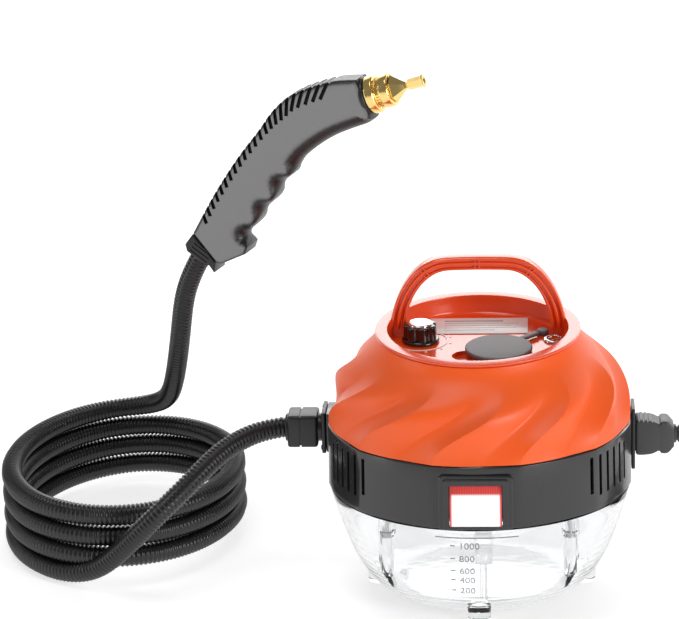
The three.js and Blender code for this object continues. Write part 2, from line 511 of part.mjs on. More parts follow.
// ---------------------------------------------------------------- steam hose: rise, coil, run to the base
function coilRing(centre, inner, outer, low, high, stretch = 1, sides = 40) {
  return ring(inner, outer, low, high, sides).scale(1, stretch, 1).translate(centre[0], centre[1], 0);
}
const COIL_STRETCH = (COIL_B + HOSE_R) / (COIL_A + HOSE_R);
const hoseCoil = (grow) => coilRing(COIL_AT, COIL_A - HOSE_R - grow, COIL_A + HOSE_R + grow,
  0.1 - grow, COIL_H + grow, COIL_STRETCH, 36);
gun.updateMatrixWorld(true);
const fromGun = (x, z) => new THREE.Vector3(x, 0, z).applyMatrix4(gun.matrix).toArray();
const hoseStart = (d) => fromGun(BOOT_END[0] + bootOut.x * d, BOOT_END[1] + bootOut.y * d);
const risePoints = [hoseStart(0.3), hoseStart(6), [-230.5, 120, 196], [-239.4, 140, 151.2],
  [-250.3, 172, 107.5], [-262, 200, 80], [-274, 214, 70], [-292, 222, 62]];
const runPoints = [[-307, -5, 9], [-297, -14, 15], [-283, -24, 26], [-262, -36, 46], [-236, -44, 71],
  [-214, -34, 90], [-196, -8, 103], [-176, 15, 110.5], [-156, HOSE_PORT[0] - 0.2, HOSE_PORT[1]], [-146.8, ...HOSE_PORT]];
const rubber = (color = 0x2e2f31) => plastic(color, 0.6);
put('hose_rise', cut(tube(risePoints, HOSE_R, 8, 20), hoseCoil(GAP)), rubber());
put('hose_coil', hoseCoil(0), rubber());
put('hose_run', cut(tube(runPoints, HOSE_R, 8, 24), hoseCoil(GAP)), rubber());

// ---------------------------------------------------------------- mains lead: drop, coil, tail and wall plug
const leadCoil = (grow) => coilRing(LEAD_COIL_AT, LEAD_COIL_IN - grow, LEAD_COIL_OUT + grow,
  LEAD_COIL_Z - grow, LEAD_COIL_TOP + grow);
const leadMid = LEAD_COIL_OUT - LEAD_R;
const arc = (cx, cz, r, from, to, n) => Array.from({ length: n + 1 }, (_, i) => {
  const a = THREE.MathUtils.degToRad(from + ((to - from) * i) / n);
  return [cx + r * Math.cos(a), cz + r * Math.sin(a)];
});
const dropY = LEAD_COIL_AT[1] - leadMid;
const dropLine = [[164.1, POWER_PORT[1]], ...arc(170, POWER_PORT[1] - 30, 30, 90, 0, 4),
  ...arc(230, LEAD_COIL_Z + LEAD_R + 30, 30, 180, 270, 4), [237, LEAD_COIL_Z + LEAD_R]];
const dropPoints = dropLine.map(([x, z]) =>
  [x, THREE.MathUtils.lerp(POWER_PORT[0], dropY, smooth((x - 166) / 50)), z]);
const plugY = 110;
const plugAt = [LEAD_COIL_AT[0] + leadMid, 18.8];
put('mains_cord', cut(tube(dropPoints, LEAD_R, 8, 26), leadCoil(GAP)), rubber());
put('mains_coil', leadCoil(0), rubber());
put('mains_tail', cut(tube([[plugAt[0], LEAD_COIL_AT[1] + 6, plugAt[1]], [plugAt[0], 90, plugAt[1]],
  [plugAt[0], plugY - GAP, plugAt[1]]], LEAD_R, 8, 4), leadCoil(GAP)), rubber());
function mainsPlug() {
  return cut(turned([[0, 0], [5, 0], [6, 12], [9, 17], [15, 24], [18.6, 32], [18.6, 46], [0, 46]], 24),
    ...[-9.5, 9.5].map((x) => rod(2.7, 40, 50, 10).translate(x, 0, 0)))
    .rotateX(-Math.PI / 2).translate(plugAt[0], plugY, plugAt[1]);
}
put('mains_plug', mainsPlug(), rubber());
[-9.5, 9.5].forEach((x, k) => put(`plug_pin_${k + 1}`,
  turned([[0, 40.3], [2.4, 40.3], [2.4, 62], [1.6, 64], [0, 64.4]], 10).rotateX(-Math.PI / 2)
    .translate(plugAt[0] + x, plugY, plugAt[1]), metal(0xd5d3cb, 0.25)));
put('cord_tie', cut(block(30.4, 47.6, -3, 3, 0, 23.8), block(31.5, 46.5, -5, 5, 0.9, 22.6))
  .rotateZ(THREE.MathUtils.degToRad(135)).translate(...LEAD_COIL_AT, 0), rubber(0x1b1b1c));

// ---------------------------------------------------------------- into place
const CORD = ['gun_boot', 'hose_rise', 'hose_coil', 'hose_run', 'hose_coupling', 'cord_connector', 'mains_cord',
  'mains_coil', 'mains_tail', 'mains_plug', 'plug_pin_1', 'plug_pin_2', 'cord_tie'];
model.updateMatrixWorld(true);
const box = new THREE.Box3();
model.traverse((node) => {
  if (node.isMesh && !CORD.includes(node.name)) {
    const world = node.geometry.clone().applyMatrix4(node.matrixWorld);
    world.computeBoundingBox();
    box.union(world.boundingBox);
  }
});
const middle = box.getCenter(new THREE.Vector3());
model.position.set(-middle.x, -middle.y, -box.min.z);
model.name = 'steam_cleaner';
const scene = new THREE.Group();
scene.add(model);
export default scene;
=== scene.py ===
# %% [markdown]
# # A steam cleaner for stripping wallpaper
#
# The real object is a clear water bowl under a black ring and an orange fluted dome, with a sunk
# control panel and a carrying arch on top. A corrugated hose leaves it on the left, lies in a coil
# and rises to a steam gun with a brass nozzle. A mains lead leaves it on the right.
#
# The frame that is loaded first holds every solid of the design in its true place. This script
# gives those solids their visible surfaces, and never moves them.

# %% Load the frame
import math

import bmesh
import bpy
from mathutils import Matrix, Vector
from mathutils.geometry import delaunay_2d_cdt
from mathutils.kdtree import KDTree


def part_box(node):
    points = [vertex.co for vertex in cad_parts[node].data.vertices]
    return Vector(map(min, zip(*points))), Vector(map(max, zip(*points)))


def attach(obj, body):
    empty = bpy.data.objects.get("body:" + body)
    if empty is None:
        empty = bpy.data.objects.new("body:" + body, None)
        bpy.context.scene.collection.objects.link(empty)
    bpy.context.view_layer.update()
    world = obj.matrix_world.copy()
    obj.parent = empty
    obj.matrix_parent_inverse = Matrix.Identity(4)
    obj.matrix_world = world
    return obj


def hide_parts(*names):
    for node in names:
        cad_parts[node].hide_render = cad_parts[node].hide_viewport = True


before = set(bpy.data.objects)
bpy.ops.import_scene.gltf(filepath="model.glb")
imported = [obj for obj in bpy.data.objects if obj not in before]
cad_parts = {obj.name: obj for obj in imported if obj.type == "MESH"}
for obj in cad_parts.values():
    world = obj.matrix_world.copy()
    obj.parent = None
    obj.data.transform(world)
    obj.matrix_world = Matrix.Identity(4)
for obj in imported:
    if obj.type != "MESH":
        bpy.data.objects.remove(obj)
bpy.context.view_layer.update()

# %% [markdown]
# ## Places
#
# The base is a turned part, so it is easiest to draw it round its own axis in millimetres and to
# let one matrix carry it to its place in metres. The bowl's box gives that axis. The control panel
# leans forward a little, the gun is turned to the side and the nozzle leans up, so each of them
# has a matrix of its own, and pieces on them are drawn straight.

# %% Matrices from drawing millimetres to metres
MM = 0.001


def offset(x, y, z):
    return Matrix.Translation((x, y, z))


def rotation(degrees, axis):
    return Matrix.Rotation(math.radians(degrees), 4, axis)


bowl_low, bowl_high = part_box("tank_bowl")
AXIS = Vector(((bowl_low[0] + bowl_high[0]) / 2, (bowl_low[1] + bowl_high[1]) / 2, 0))
BASE = Matrix.Translation(AXIS) @ Matrix.Scale(MM, 4)

RIM_Z = 199.7
RIM_TILT = math.radians(4.2)
PANEL = BASE @ offset(0, 0, RIM_Z) @ Matrix.Rotation(RIM_TILT, 4, "X")
GUN = BASE @ offset(-149.8, 90, 313.5) @ rotation(-15, "Z")
NOZZLE_IN_GUN = offset(65.5, 0, 43) @ rotation(90 - 17, "Y")
NOZZLE = GUN @ NOZZLE_IN_GUN


def at(x, y, z):
    """A point of the base's drawing, in metres."""
    return BASE @ Vector((x, y, z))


print("axis of the base:", tuple(round(v, 4) for v in AXIS))

# %% [markdown]
# ## Camera, floor and light
#
# A long lens from a little above shows the base and the gun together. The floor curves up into a
# backdrop, so there is no horizon, and large soft lights give plastic its long highlights.

# %% Camera
def into_scene(name, data):
    """An object that holds the data, linked into the scene."""
    item = bpy.data.objects.new(name, data)
    bpy.context.scene.collection.objects.link(item)
    return item


CAMERA_AT = (52.3, -1968.9, 802.2)
YAW, PITCH, ROLL = (math.radians(a) for a in (-4.46, 16.59, 1.76))
forward = Vector((math.sin(YAW) * math.cos(PITCH), math.cos(YAW) * math.cos(PITCH), -math.sin(PITCH)))
level = Vector((math.cos(YAW), -math.sin(YAW), 0))
down = forward.cross(level)
right = level * math.cos(ROLL) + down * math.sin(ROLL)
below = -level * math.sin(ROLL) + down * math.cos(ROLL)

camera_data = bpy.data.cameras.new("camera")
camera_data.sensor_width = 36
camera_data.lens = 148.5
camera_data.clip_end = 50
camera = into_scene("camera", camera_data)
turn = Matrix((right, -below, -forward)).transposed()
camera.matrix_world = Matrix.Translation(at(*CAMERA_AT)) @ turn.to_4x4()
bpy.context.scene.camera = camera
bpy.context.scene.view_settings.view_transform = "Standard"


# %% Lights
def area_light(name, place, aim, size, power):
    """A white rectangle of light, size metres wide and high, turned to aim."""
    data = bpy.data.lights.new(name, "AREA")
    data.shape = "RECTANGLE"
    data.size, data.size_y = size
    data.energy = power
    lamp = into_scene(name, data)
    lamp.location = place
    lamp.rotation_mode = "QUATERNION"
    lamp.rotation_quaternion = (Vector(aim) - Vector(place)).to_track_quat("-Z", "Y")


TARGET = (0.02, 0, 0.14)
area_light("key", (1.7, -1.5, 0.75), TARGET, (0.9, 0.9), 25)
area_light("left strip", (-1.6, -0.5, 0.6), TARGET, (0.3, 1.3), 5)
area_light("top", (-0.3, -0.3, 1.9), TARGET, (0.8, 0.6), 7)
area_light("back", (0.2, 1.6, 0.95), TARGET, (2.0, 0.6), 9)

world = bpy.data.worlds.new("studio")
world.use_nodes = True
world.node_tree.nodes["Background"].inputs["Color"].default_value = (1, 1, 1, 1)
world.node_tree.nodes["Background"].inputs["Strength"].default_value = 0.22
bpy.context.scene.world = world

# %% [markdown]
# ## Helpers for meshes
#
# Most pieces here are turned or moulded. A turned piece starts as a profile of radius and height
# whose corners are rounded, and the spin operator turns it. A moulded block starts as a cube or as
# an outline that is extruded, and its edges are bevelled, because no moulded edge is sharp.


# %% Rounded profile and spin
def rounded(points, radius, closed=True, segments=3):
    """The outline again, with each corner replaced by a small arc."""
    result = []
    count = len(points)
    for i, point in enumerate(points):
        here = Vector(point)
        if not closed and i in (0, count - 1):
            result.append(here)
            continue
        before = Vector(points[i - 1]) - here
        after = Vector(points[(i + 1) % count]) - here
        reach = min(radius, 0.45 * before.length, 0.45 * after.length)
        start, end = here + before.normalized() * reach, here + after.normalized() * reach
        for k in range(segments + 1):
            t = k / segments
            result.append(start * (1 - t) ** 2 + here * 2 * t * (1 - t) + end * t ** 2)
    return result


def spun(profile, radius=0.4, steps=96, segments=3):
    """A turned solid: (radius, height) pairs round Z. A profile that starts on the axis is left open."""
    closed = profile[0][0] > 0
    bm = bmesh.new()
    points = rounded(profile, radius, closed, segments)
    verts = [bm.verts.new((max(p[0], 0), 0, p[1])) for p in points]
    pairs = list(zip(verts, verts[1:])) + ([(verts[-1], verts[0])] if closed else [])
    edges = [bm.edges.new(pair) for pair in pairs]
    bmesh.ops.spin(bm, geom=verts + edges, cent=(0, 0, 0), axis=(0, 0, 1), dvec=(0, 0, 0),
                   angle=2 * math.pi, steps=steps, use_merge=True, use_duplicate=False)
    bmesh.ops.remove_doubles(bm, verts=bm.verts, dist=1e-4)
    bmesh.ops.dissolve_degenerate(bm, edges=bm.edges, dist=1e-5)
    bmesh.ops.recalc_face_normals(bm, faces=bm.faces)
    return bm


def rod(radius, low, high, corner=0.1, steps=32):
    """A round bar along Z from low to high."""
    return spun([(0, low), (radius, low), (radius, high), (0, high)], corner, steps)


def block(x0, x1, y0, y1, z0, z1, bevel=0.8, segments=3):
    """A moulded block with rounded edges."""
    bm = bmesh.new()
    bmesh.ops.create_cube(bm, size=1)
    bmesh.ops.scale(bm, vec=(x1 - x0, y1 - y0, z1 - z0), verts=bm.verts)
    bmesh.ops.translate(bm, vec=((x0 + x1) / 2, (y0 + y1) / 2, (z0 + z1) / 2), verts=bm.verts)
    if bevel:
        bmesh.ops.bevel(bm, geom=bm.edges[:], offset=bevel, segments=segments, profile=0.5,
                        affect="EDGES", material=-1)
    return bm


def plate(outline, depth, bevel=0.5, segments=2):
    """An outline in X and Y, extruded up by depth, with its rims rounded."""
    bm = bmesh.new()
    face = bm.faces.new([bm.verts.new((p[0], p[1], 0)) for p in outline])
    if face.normal.z > 0:
        face.normal_flip()
    rim = bmesh.ops.extrude_face_region(bm, geom=[face])
    top = [v for v in rim["geom"] if isinstance(v, bmesh.types.BMVert)]
    bmesh.ops.translate(bm, vec=(0, 0, depth), verts=top)
    bmesh.ops.recalc_face_normals(bm, faces=bm.faces)
    if bevel:
        flat = [e for e in bm.edges if abs(e.verts[0].co.z - e.verts[1].co.z) < 1e-6]
        bmesh.ops.bevel(bm, geom=flat, offset=bevel, segments=segments, profile=0.5,
                        affect="EDGES", material=-1)
    return bm


# %% Finishing a piece
ALONG_X = rotation(90, "Y")
SIDE_ON = rotation(90, "X")


def merged(*parts):
    """Several bmeshes as one."""
    whole = bmesh.new()
    for part in parts:
        mesh = bpy.data.meshes.new("part")
        part.to_mesh(mesh)
        part.free()
        whole.from_mesh(mesh)
        bpy.data.meshes.remove(mesh)
    return whole


def moved(bm, matrix):
    bmesh.ops.transform(bm, matrix=matrix, verts=bm.verts)
    return bm


def piece(name, bm, material, place=BASE, body="root", stands_for=(), sharp=32):
    """The bmesh as a finished object: in place, smooth shaded, riding on its body."""
    bmesh.ops.transform(bm, matrix=place, verts=bm.verts)
    mesh = bpy.data.meshes.new(name)
    bm.to_mesh(mesh)
    bm.free()
    mesh.materials.append(material)
    mesh.shade_smooth()
    mesh.set_sharp_from_angle(angle=math.radians(sharp))
    item = into_scene(name, mesh)
    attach(item, body)
    if stands_for:
        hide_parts(*stands_for)
    print(f"{name}: {len(mesh.polygons)} faces")
    return item


def carved(base, tools, operation="DIFFERENCE"):
    """The base bmesh with other closed bmeshes cut from it or joined to it."""
    def temporary(bm):
        mesh = bpy.data.meshes.new("cutter")
        bm.to_mesh(mesh)
        bm.free()
        return into_scene("cutter", mesh)

    body, cutter = temporary(base), temporary(merged(*tools))
    modifier = body.modifiers.new("cut", "BOOLEAN")
    modifier.operation = operation
    modifier.solver = "EXACT"
    modifier.use_self = True
    modifier.object = cutter
    graph = bpy.context.evaluated_depsgraph_get()
    result = bmesh.new()
    result.from_mesh(body.evaluated_get(graph).to_mesh())
    for item in (body, cutter):
        mesh = item.data
        bpy.data.objects.remove(item)
        bpy.data.meshes.remove(mesh)
    return result


# %% [markdown]
# ## Materials
#
# Moulded plastic is never one flat colour: the mould leaves a fine grain that breaks up highlights,
# handling leaves patches that are a little duller, and rims catch light. One node group holds that
# grain, and each material places it with its own scale and strength.


# %% The grain group
def add_node(tree, kind, sockets=None, **settings):
    """A shader node; each socket gets a plain value or another node's output."""
    made = tree.nodes.new("ShaderNode" + kind)
    for name, value in settings.items():
        setattr(made, name, value)
    for socket, value in (sockets or {}).items():
        if isinstance(value, bpy.types.NodeSocket):
            tree.links.new(value, made.inputs[socket])
        else:
            made.inputs[socket].default_value = value
    return made


def grain_group():
    tree = bpy.data.node_groups.new("moulded grain", "ShaderNodeTree")
    face = tree.interface
    for label, kind, value in (("Colour", "Color", (0.5, 0.5, 0.5, 1)), ("Roughness", "Float", 0.4),
                               ("Fine scale", "Float", 2500), ("Patch scale", "Float", 40),
                               ("Patch strength", "Float", 0.08)):
        socket = face.new_socket(label, in_out="INPUT", socket_type="NodeSocket" + kind)
        socket.default_value = value
    for label, kind in (("Colour", "Color"), ("Roughness", "Float"), ("Height", "Float")):
        face.new_socket(label, in_out="OUTPUT", socket_type="NodeSocket" + kind)
    inside, outside = tree.nodes.new("NodeGroupInput"), tree.nodes.new("NodeGroupOutput")
    given = inside.outputs
    place = add_node(tree, "TexCoord").outputs["Object"]
    fine = add_node(tree, "TexNoise", {"Vector": place, "Scale": given["Fine scale"], "Detail": 2})
    patch = add_node(tree, "TexNoise", {"Vector": place, "Scale": given["Patch scale"], "Detail": 3})
    centred = add_node(tree, "Math", {0: patch.outputs["Fac"], 1: 0.5}, operation="SUBTRACT")
    amount = add_node(tree, "Math", {0: centred.outputs[0], 1: given["Patch strength"]},
                      operation="MULTIPLY")
    rough = add_node(tree, "Math", {0: given["Roughness"], 1: amount.outputs[0]}, operation="ADD")
    brightness = add_node(tree, "Math", {0: amount.outputs[0], 1: 1}, operation="ADD")
    tint = add_node(tree, "HueSaturation", {"Value": brightness.outputs[0], "Color": given["Colour"]})
    for label, output in (("Colour", tint.outputs["Color"]), ("Roughness", rough.outputs[0]),
                          ("Height", fine.outputs["Fac"])):
        tree.links.new(output, outside.inputs[label])
    return tree


GRAIN = grain_group()


def node_material(name):
    """A new material, its node tree and its shader."""
    material = bpy.data.materials.new(name)
    material.use_nodes = True
    return material, material.node_tree, material.node_tree.nodes["Principled BSDF"]


def grained(name, colour, roughness, fine=2500, bump=0.05, patch=0.08, patch_scale=40, **sockets):
    """A material with the moulded grain; sockets sets plain values on its shader."""
    material, tree, shader = node_material(name)
    group = add_node(tree, "Group", node_tree=GRAIN)
    for label, value in (("Colour", (*colour, 1)), ("Roughness", roughness), ("Fine scale", fine),
                         ("Patch scale", patch_scale), ("Patch strength", patch)):
        group.inputs[label].default_value = value
    height = add_node(tree, "Bump", {"Strength": bump, "Distance": 0.0001,
                                     "Height": group.outputs["Height"]})
    for label, output in (("Base Color", group.outputs["Colour"]), ("Normal", height.outputs["Normal"]),
                          ("Roughness", group.outputs["Roughness"])):
        tree.links.new(output, shader.inputs[label])
    for label, value in sockets.items():
        shader.inputs[label.replace("_", " ")].default_value = value
    return material


def clear(name, colour, roughness, ior):
    """A clear plastic that light passes through."""
    material, _, shader = node_material(name)
    for label, value in (("Base Color", (*colour, 1)), ("Roughness", roughness), ("IOR", ior),
                         ("Transmission Weight", 1)):
        shader.inputs[label].default_value = value
    return material


# %% The finishes of this object
ORANGE = (0.94, 0.112, 0.010)
orange_satin = grained("orange satin", ORANGE, 0.42, fine=3200, bump=0.12, patch=0.05)
orange_gloss = grained("orange gloss", (0.86, 0.080, 0.010), 0.2, bump=0.03, patch=0.05,
                       Coat_Weight=0.4, Coat_Roughness=0.08)
black_gloss = grained("black gloss", (0.018, 0.018, 0.019), 0.24, bump=0.04, Coat_Weight=0.25)
black_satin = grained("black satin", (0.012, 0.012, 0.013), 0.36, bump=0.1)
groove_black = grained("groove black", (0.006, 0.006, 0.006), 0.6)
hose_rubber = grained("hose rubber", (0.008, 0.008, 0.009), 0.3, bump=0.05, patch=0.15,
                      patch_scale=90)
lead_rubber = grained("lead rubber", (0.017, 0.017, 0.018), 0.5, bump=0.15)
connector_black = grained("connector black", (0.05, 0.05, 0.052), 0.38, bump=0.12)
cap_rubber = grained("cap rubber", (0.13, 0.13, 0.135), 0.5, bump=0.25, fine=1800)
knob_gloss = grained("knob gloss", (0.008, 0.008, 0.009), 0.12, bump=0.01, Coat_Weight=0.6)
bright_plate = grained("bright plate", (0.86, 0.86, 0.87), 0.12, bump=0.01, patch=0.05, Metallic=1)
brass = grained("brass", (0.91, 0.67, 0.25), 0.16, bump=0.02, patch=0.1, Metallic=1)
steel = grained("steel", (0.62, 0.62, 0.63), 0.3, bump=0.03, Metallic=1)
cast_metal = grained("cast metal", (0.55, 0.55, 0.56), 0.5, bump=0.4, fine=900, Metallic=1)
coil_steel = grained("coil steel", (0.28, 0.29, 0.3), 0.42, bump=0.05, Metallic=1)
pale_plastic = grained("pale plastic", (0.72, 0.72, 0.7), 0.4)
board_green = grained("board green", (0.03, 0.2, 0.07), 0.35)
silicone = grained("silicone", (0.68, 0.68, 0.66), 0.45, bump=0.1, Subsurface_Weight=0.1)
label_white = grained("label white", (0.93, 0.93, 0.92), 0.3, bump=0.02)
label_ink = grained("label ink", (0.42, 0.40, 0.40), 0.5)
dial_white = grained("dial white", (0.86, 0.83, 0.8), 0.4)
clear_bowl = clear("clear bowl", (0.95, 0.955, 0.96), 0.02, 1.46)
lamp_lens = clear("lamp lens", (0.72, 0.86, 0.5), 0.08, 1.45)

# %% [markdown]
# ## The steam hose
#
# The hose is corrugated: its wall rises and falls every few millimetres, which is what lets it bend.
# A curve object can show that without any modelling, because each point of a curve has a radius of
# its own. The route is one smooth line: up from the floor coil to the gun on one side, and from the
# coil to the base on the other. The coil's turns come from a loop, and they rise by a hose's width
# for every turn.


# %% Routes as smooth lines
def smooth_line(points, step, passes=0):
    """A line through the points (millimetres), resampled to an even step, in the base's drawing."""
    dense = []
    count = len(points)
    nodes = [Vector(p) for p in points]
    for i in range(count - 1):
        p1, p2 = nodes[i], nodes[i + 1]
        p0 = nodes[i - 1] if i else p1 * 2 - p2
        p3 = nodes[i + 2] if i + 2 < count else p2 * 2 - p1
        t0, t1 = 0, (p1 - p0).length ** 0.5
        t2 = t1 + (p2 - p1).length ** 0.5
        t3 = t2 + (p3 - p2).length ** 0.5
        pieces = max(2, int((p2 - p1).length / 1.5))
        for k in range(pieces):
            t = t1 + (t2 - t1) * k / pieces
            a1 = p0 * ((t1 - t) / (t1 - t0)) + p1 * ((t - t0) / (t1 - t0))
            a2 = p1 * ((t2 - t) / (t2 - t1)) + p2 * ((t - t1) / (t2 - t1))
            a3 = p2 * ((t3 - t) / (t3 - t2)) + p3 * ((t - t2) / (t3 - t2))
            b1 = a1 * ((t2 - t) / (t2 - t0)) + a2 * ((t - t0) / (t2 - t0))
            b2 = a2 * ((t3 - t) / (t3 - t1)) + a3 * ((t - t1) / (t3 - t1))
            dense.append(b1 * ((t2 - t) / (t2 - t1)) + b2 * ((t - t1) / (t2 - t1)))
    dense.append(nodes[-1])
    for _ in range(passes):
        dense = ([dense[0], dense[1]]
                 + [(dense[i - 1] + dense[i] * 2 + dense[i + 1]) / 4 for i in range(2, len(dense) - 2)]
                 + [dense[-2], dense[-1]])
    return resampled(dense, step)


def resampled(points, step):
    lengths = [0.0]
    for a, b in zip(points, points[1:]):
        lengths.append(lengths[-1] + (b - a).length)
    count = max(2, round(lengths[-1] / step))
    result, i = [], 0
    for k in range(count + 1):
        goal = lengths[-1] * k / count
        while i < len(points) - 2 and lengths[i + 1] < goal:
            i += 1
        share = (goal - lengths[i]) / max(lengths[i + 1] - lengths[i], 1e-9)
        result.append(points[i].lerp(points[i + 1], min(max(share, 0), 1)))
    return result


def line_length(points):
    return sum((b - a).length for a, b in zip(points, points[1:]))


def cord_curve(name, points, diameter, radii, material, sides):
    """A round cord as a curve of one open spline; points in drawing millimetres."""
    data = bpy.data.curves.new(name, "CURVE")
    data.dimensions = "3D"
    data.bevel_depth = diameter * MM / 2
    data.bevel_resolution = sides
    data.use_fill_caps = True
    data.twist_mode = "MINIMUM"
    spline = data.splines.new("POLY")
    spline.points.add(len(points) - 1)
    for slot, point, radius in zip(spline.points, points, radii):
        slot.co = (*(BASE @ point), 1)
        slot.radius = radius
    spline.use_smooth = True
    data.materials.append(material)
    item = into_scene(name, data)
    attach(item, "root")
    return item


# %% The hose
HOSE_D = 16.5
RIDGE = 3.4
COIL_X, COIL_Y = -284, 105
COIL_A, COIL_B = 88, 118
TURN_FROM, TURN_TO = 90, 1335
BOOT_END = Vector((-67.4, 0, -86.6))
BOOT_OUT = Vector((-0.57, 0, -0.82)).normalized()
GUN_IN_BASE = BASE.inverted() @ GUN


def coil_point(degrees):
    a = math.radians(degrees)
    rise = HOSE_D * (TURN_TO - degrees) / 360
    return Vector((COIL_X + COIL_A * math.cos(a), COIL_Y + COIL_B * math.sin(a), HOSE_D / 2 + rise))


boot_exit = GUN_IN_BASE @ (BOOT_END + BOOT_OUT * 0.3)
rise = [boot_exit, GUN_IN_BASE @ (BOOT_END + BOOT_OUT * 6), (-230.5, 120, 196), (-239.4, 140, 151.2),
        (-249, 170, 110), (-259, 198, 82), (-271, 216, 69.5)]
turns = [coil_point(TURN_FROM + 10 + 10 * k) for k in range(int((TURN_TO - TURN_FROM) / 10))]
run = [(-291, -17, 14.5), (-277, -25, 27), (-259, -35, 46), (-236, -44, 71), (-214, -34, 90),
       (-196, -8, 103), (-176, 15, 110.5), (-156, 24.8, 114), (-146.8, 25, 114)]
hose_line = smooth_line([*rise, *turns, *run], RIDGE / 4, passes=160)
crests = [1 - 0.13 * (0.5 - 0.5 * math.cos(2 * math.pi * k / 4)) for k in range(len(hose_line))]
steam_hose = cord_curve("steam_hose", hose_line, HOSE_D, crests, hose_rubber, 4)
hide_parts("hose_rise", "hose_coil", "hose_run")

# %% [markdown]
# ## The mains lead
#
# The lead drops from its connector to the floor and is wound into a coil of six turns, two abreast
# and three high, held by a tie. Its far end is the wall plug, which lies beside the coil.

# %% The lead
LEAD_D = 7
PORT_Y, PORT_Z = 18, 109.9
LEAD_X, LEAD_Y = 236, 62
OUTER_TURN, INNER_TURN = 42.5, 35.5
FLOOR_TURN = 4.7
TAIL_Z = FLOOR_TURN + 2 * LEAD_D


def lead_turn(degrees, radius, height):
    a = math.radians(degrees)
    return Vector((LEAD_X + radius * math.cos(a), LEAD_Y + radius * math.sin(a), height))


def eased(t):
    t = min(max(t, 0), 1)
    return t * t * (3 - 2 * t)


def quarter(cx, cz, radius, start, end, count=6):
    for k in range(count + 1):
        a = math.radians(start + (end - start) * k / count)
        yield cx + radius * math.cos(a), cz + radius * math.sin(a)


drop = [(164.1, PORT_Z), *quarter(170, PORT_Z - 30, 30, 90, 0), *quarter(230, FLOOR_TURN + 30, 30, 180, 270)]
drop_y = LEAD_Y - OUTER_TURN
lead_points = [Vector((x, PORT_Y + (drop_y - PORT_Y) * eased((x - 166) / 50), z)) for x, z in drop]
# six turns: out and in, layer by layer; the last quarter turns of each one step to the next place
stations = [(OUTER_TURN, 0), (INNER_TURN, 0), (INNER_TURN, 1), (OUTER_TURN, 1), (INNER_TURN, 1.98),
            (OUTER_TURN, 2)]
STEP_SHARE = 0.22
for turn_number in range(6):
    for k in range(24):
        share = k / 24
        here = stations[turn_number]
        after = stations[min(turn_number + 1, 5)]
        move = eased((share - (1 - STEP_SHARE)) / STEP_SHARE)
        degrees = 270 + 360 * (turn_number + share)
        if turn_number == 5 and share > 0.24:
            break
        lead_points.append(lead_turn(degrees, here[0] + (after[0] - here[0]) * move,
                                     FLOOR_TURN + LEAD_D * (here[1] + (after[1] - here[1]) * move)))
PLUG_X, PLUG_Y, PLUG_Z = LEAD_X + OUTER_TURN, 110, 18.8
lead_points += [Vector((PLUG_X, y, PLUG_Z)) for y in (LEAD_Y + 14, LEAD_Y + 30, PLUG_Y - 0.3)]
lead_line = smooth_line(lead_points, 3.2, passes=6)
mains_lead = cord_curve("mains_lead", lead_line, LEAD_D, [1] * len(lead_line), lead_rubber, 4)
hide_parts("mains_cord", "mains_coil", "mains_tail")

# %% [markdown]
# ## Plug and tie
#
# The wall plug is one moulded turned body: a soft neck round the lead, a swell for the fingers and
# a flat face with two plated pins.

# %% Plug, pins and tie
PLUG_PLACE = BASE @ offset(PLUG_X, PLUG_Y, PLUG_Z) @ rotation(-90, "X")
plug_body = spun([(0, 0), (4.9, 0), (5.6, 8), (6.2, 14), (8.6, 18), (14.4, 24), (18, 30), (18.5, 34),
                  (18.5, 45.6), (0, 45.6)], radius=1.6, steps=64)
grip_cuts = [moved(block(-1.1, 1.1, 17.4, 21, 28, 43, bevel=0.4), rotation(a, "Z"))
             for a in range(0, 360, 20)]
pin_cuts = [moved(rod(2.7, 40, 50, 0.1, 24),
                  offset(x, 0, 0)) for x in (-9.5, 9.5)]
mains_plug = piece("wall_plug", carved(plug_body, [*grip_cuts, *pin_cuts]), lead_rubber,
                   PLUG_PLACE, stands_for=["mains_plug"])
for number, x in enumerate((-9.5, 9.5), 1):
    pin = spun([(0, 40.3), (2.4, 40.3), (2.4, 62), (1.4, 64.3), (0, 64.3)], 0.7, 32)
    piece(f"bright_pin_{number}", pin, steel,
                           PLUG_PLACE @ offset(x, 0, 0), stands_for=[f"plug_pin_{number}"])

tie = carved(block(30.4, 47.6, -3, 3, 0, 23.8, 0.6), [block(31.4, 46.6, -5, 5, 0.9, 22.7, 0.5)])
tie_place = BASE @ offset(LEAD_X, LEAD_Y, 0) @ rotation(135, "Z")
lead_tie = piece("lead_tie", tie, groove_black, tie_place, stands_for=["cord_tie"])

# %% [markdown]
# ## Connector and strain relief
#
# The lead plugs into the base with a moulded connector: a slim body that the fingers grip, a collar,
# and a ribbed sleeve that lets the lead bend without breaking.

# %% Connector
def connector_body():
    outline = [(115.9, -13.6), (121, -13.8), (128, -13.0), (133.4, -10.2), (134.6, -12.4), (139.6, -12.7),
               (143.4, -8.2), (144.4, -7), (144.4, 7), (143.4, 8.2), (139.6, 12.7), (134.6, 12.4),
               (133.4, 10.2), (128, 13.0), (121, 13.8), (115.9, 13.6)]
    body = plate([(p[0], p[1]) for p in rounded(outline, 2.2)], 21, bevel=1.4, segments=3)
    return moved(body, offset(0, PORT_Y + 10.5, PORT_Z) @ SIDE_ON)


def sleeve():
    rings = []
    for k in range(5):
        radius = 7 - 0.5 * k
        low = 143.5 + 4 * k
        rings += [(radius, low), (radius - 0.1, low + 2.6),
                  (radius - 1.7, low + 2.8), (radius - 1.7, low + 3.8)]
    return moved(spun([(0, 142), *rings, (4.2, 163.8), (0, 163.8)], 0.35, 48),
                 offset(0, PORT_Y, PORT_Z) @ ALONG_X)


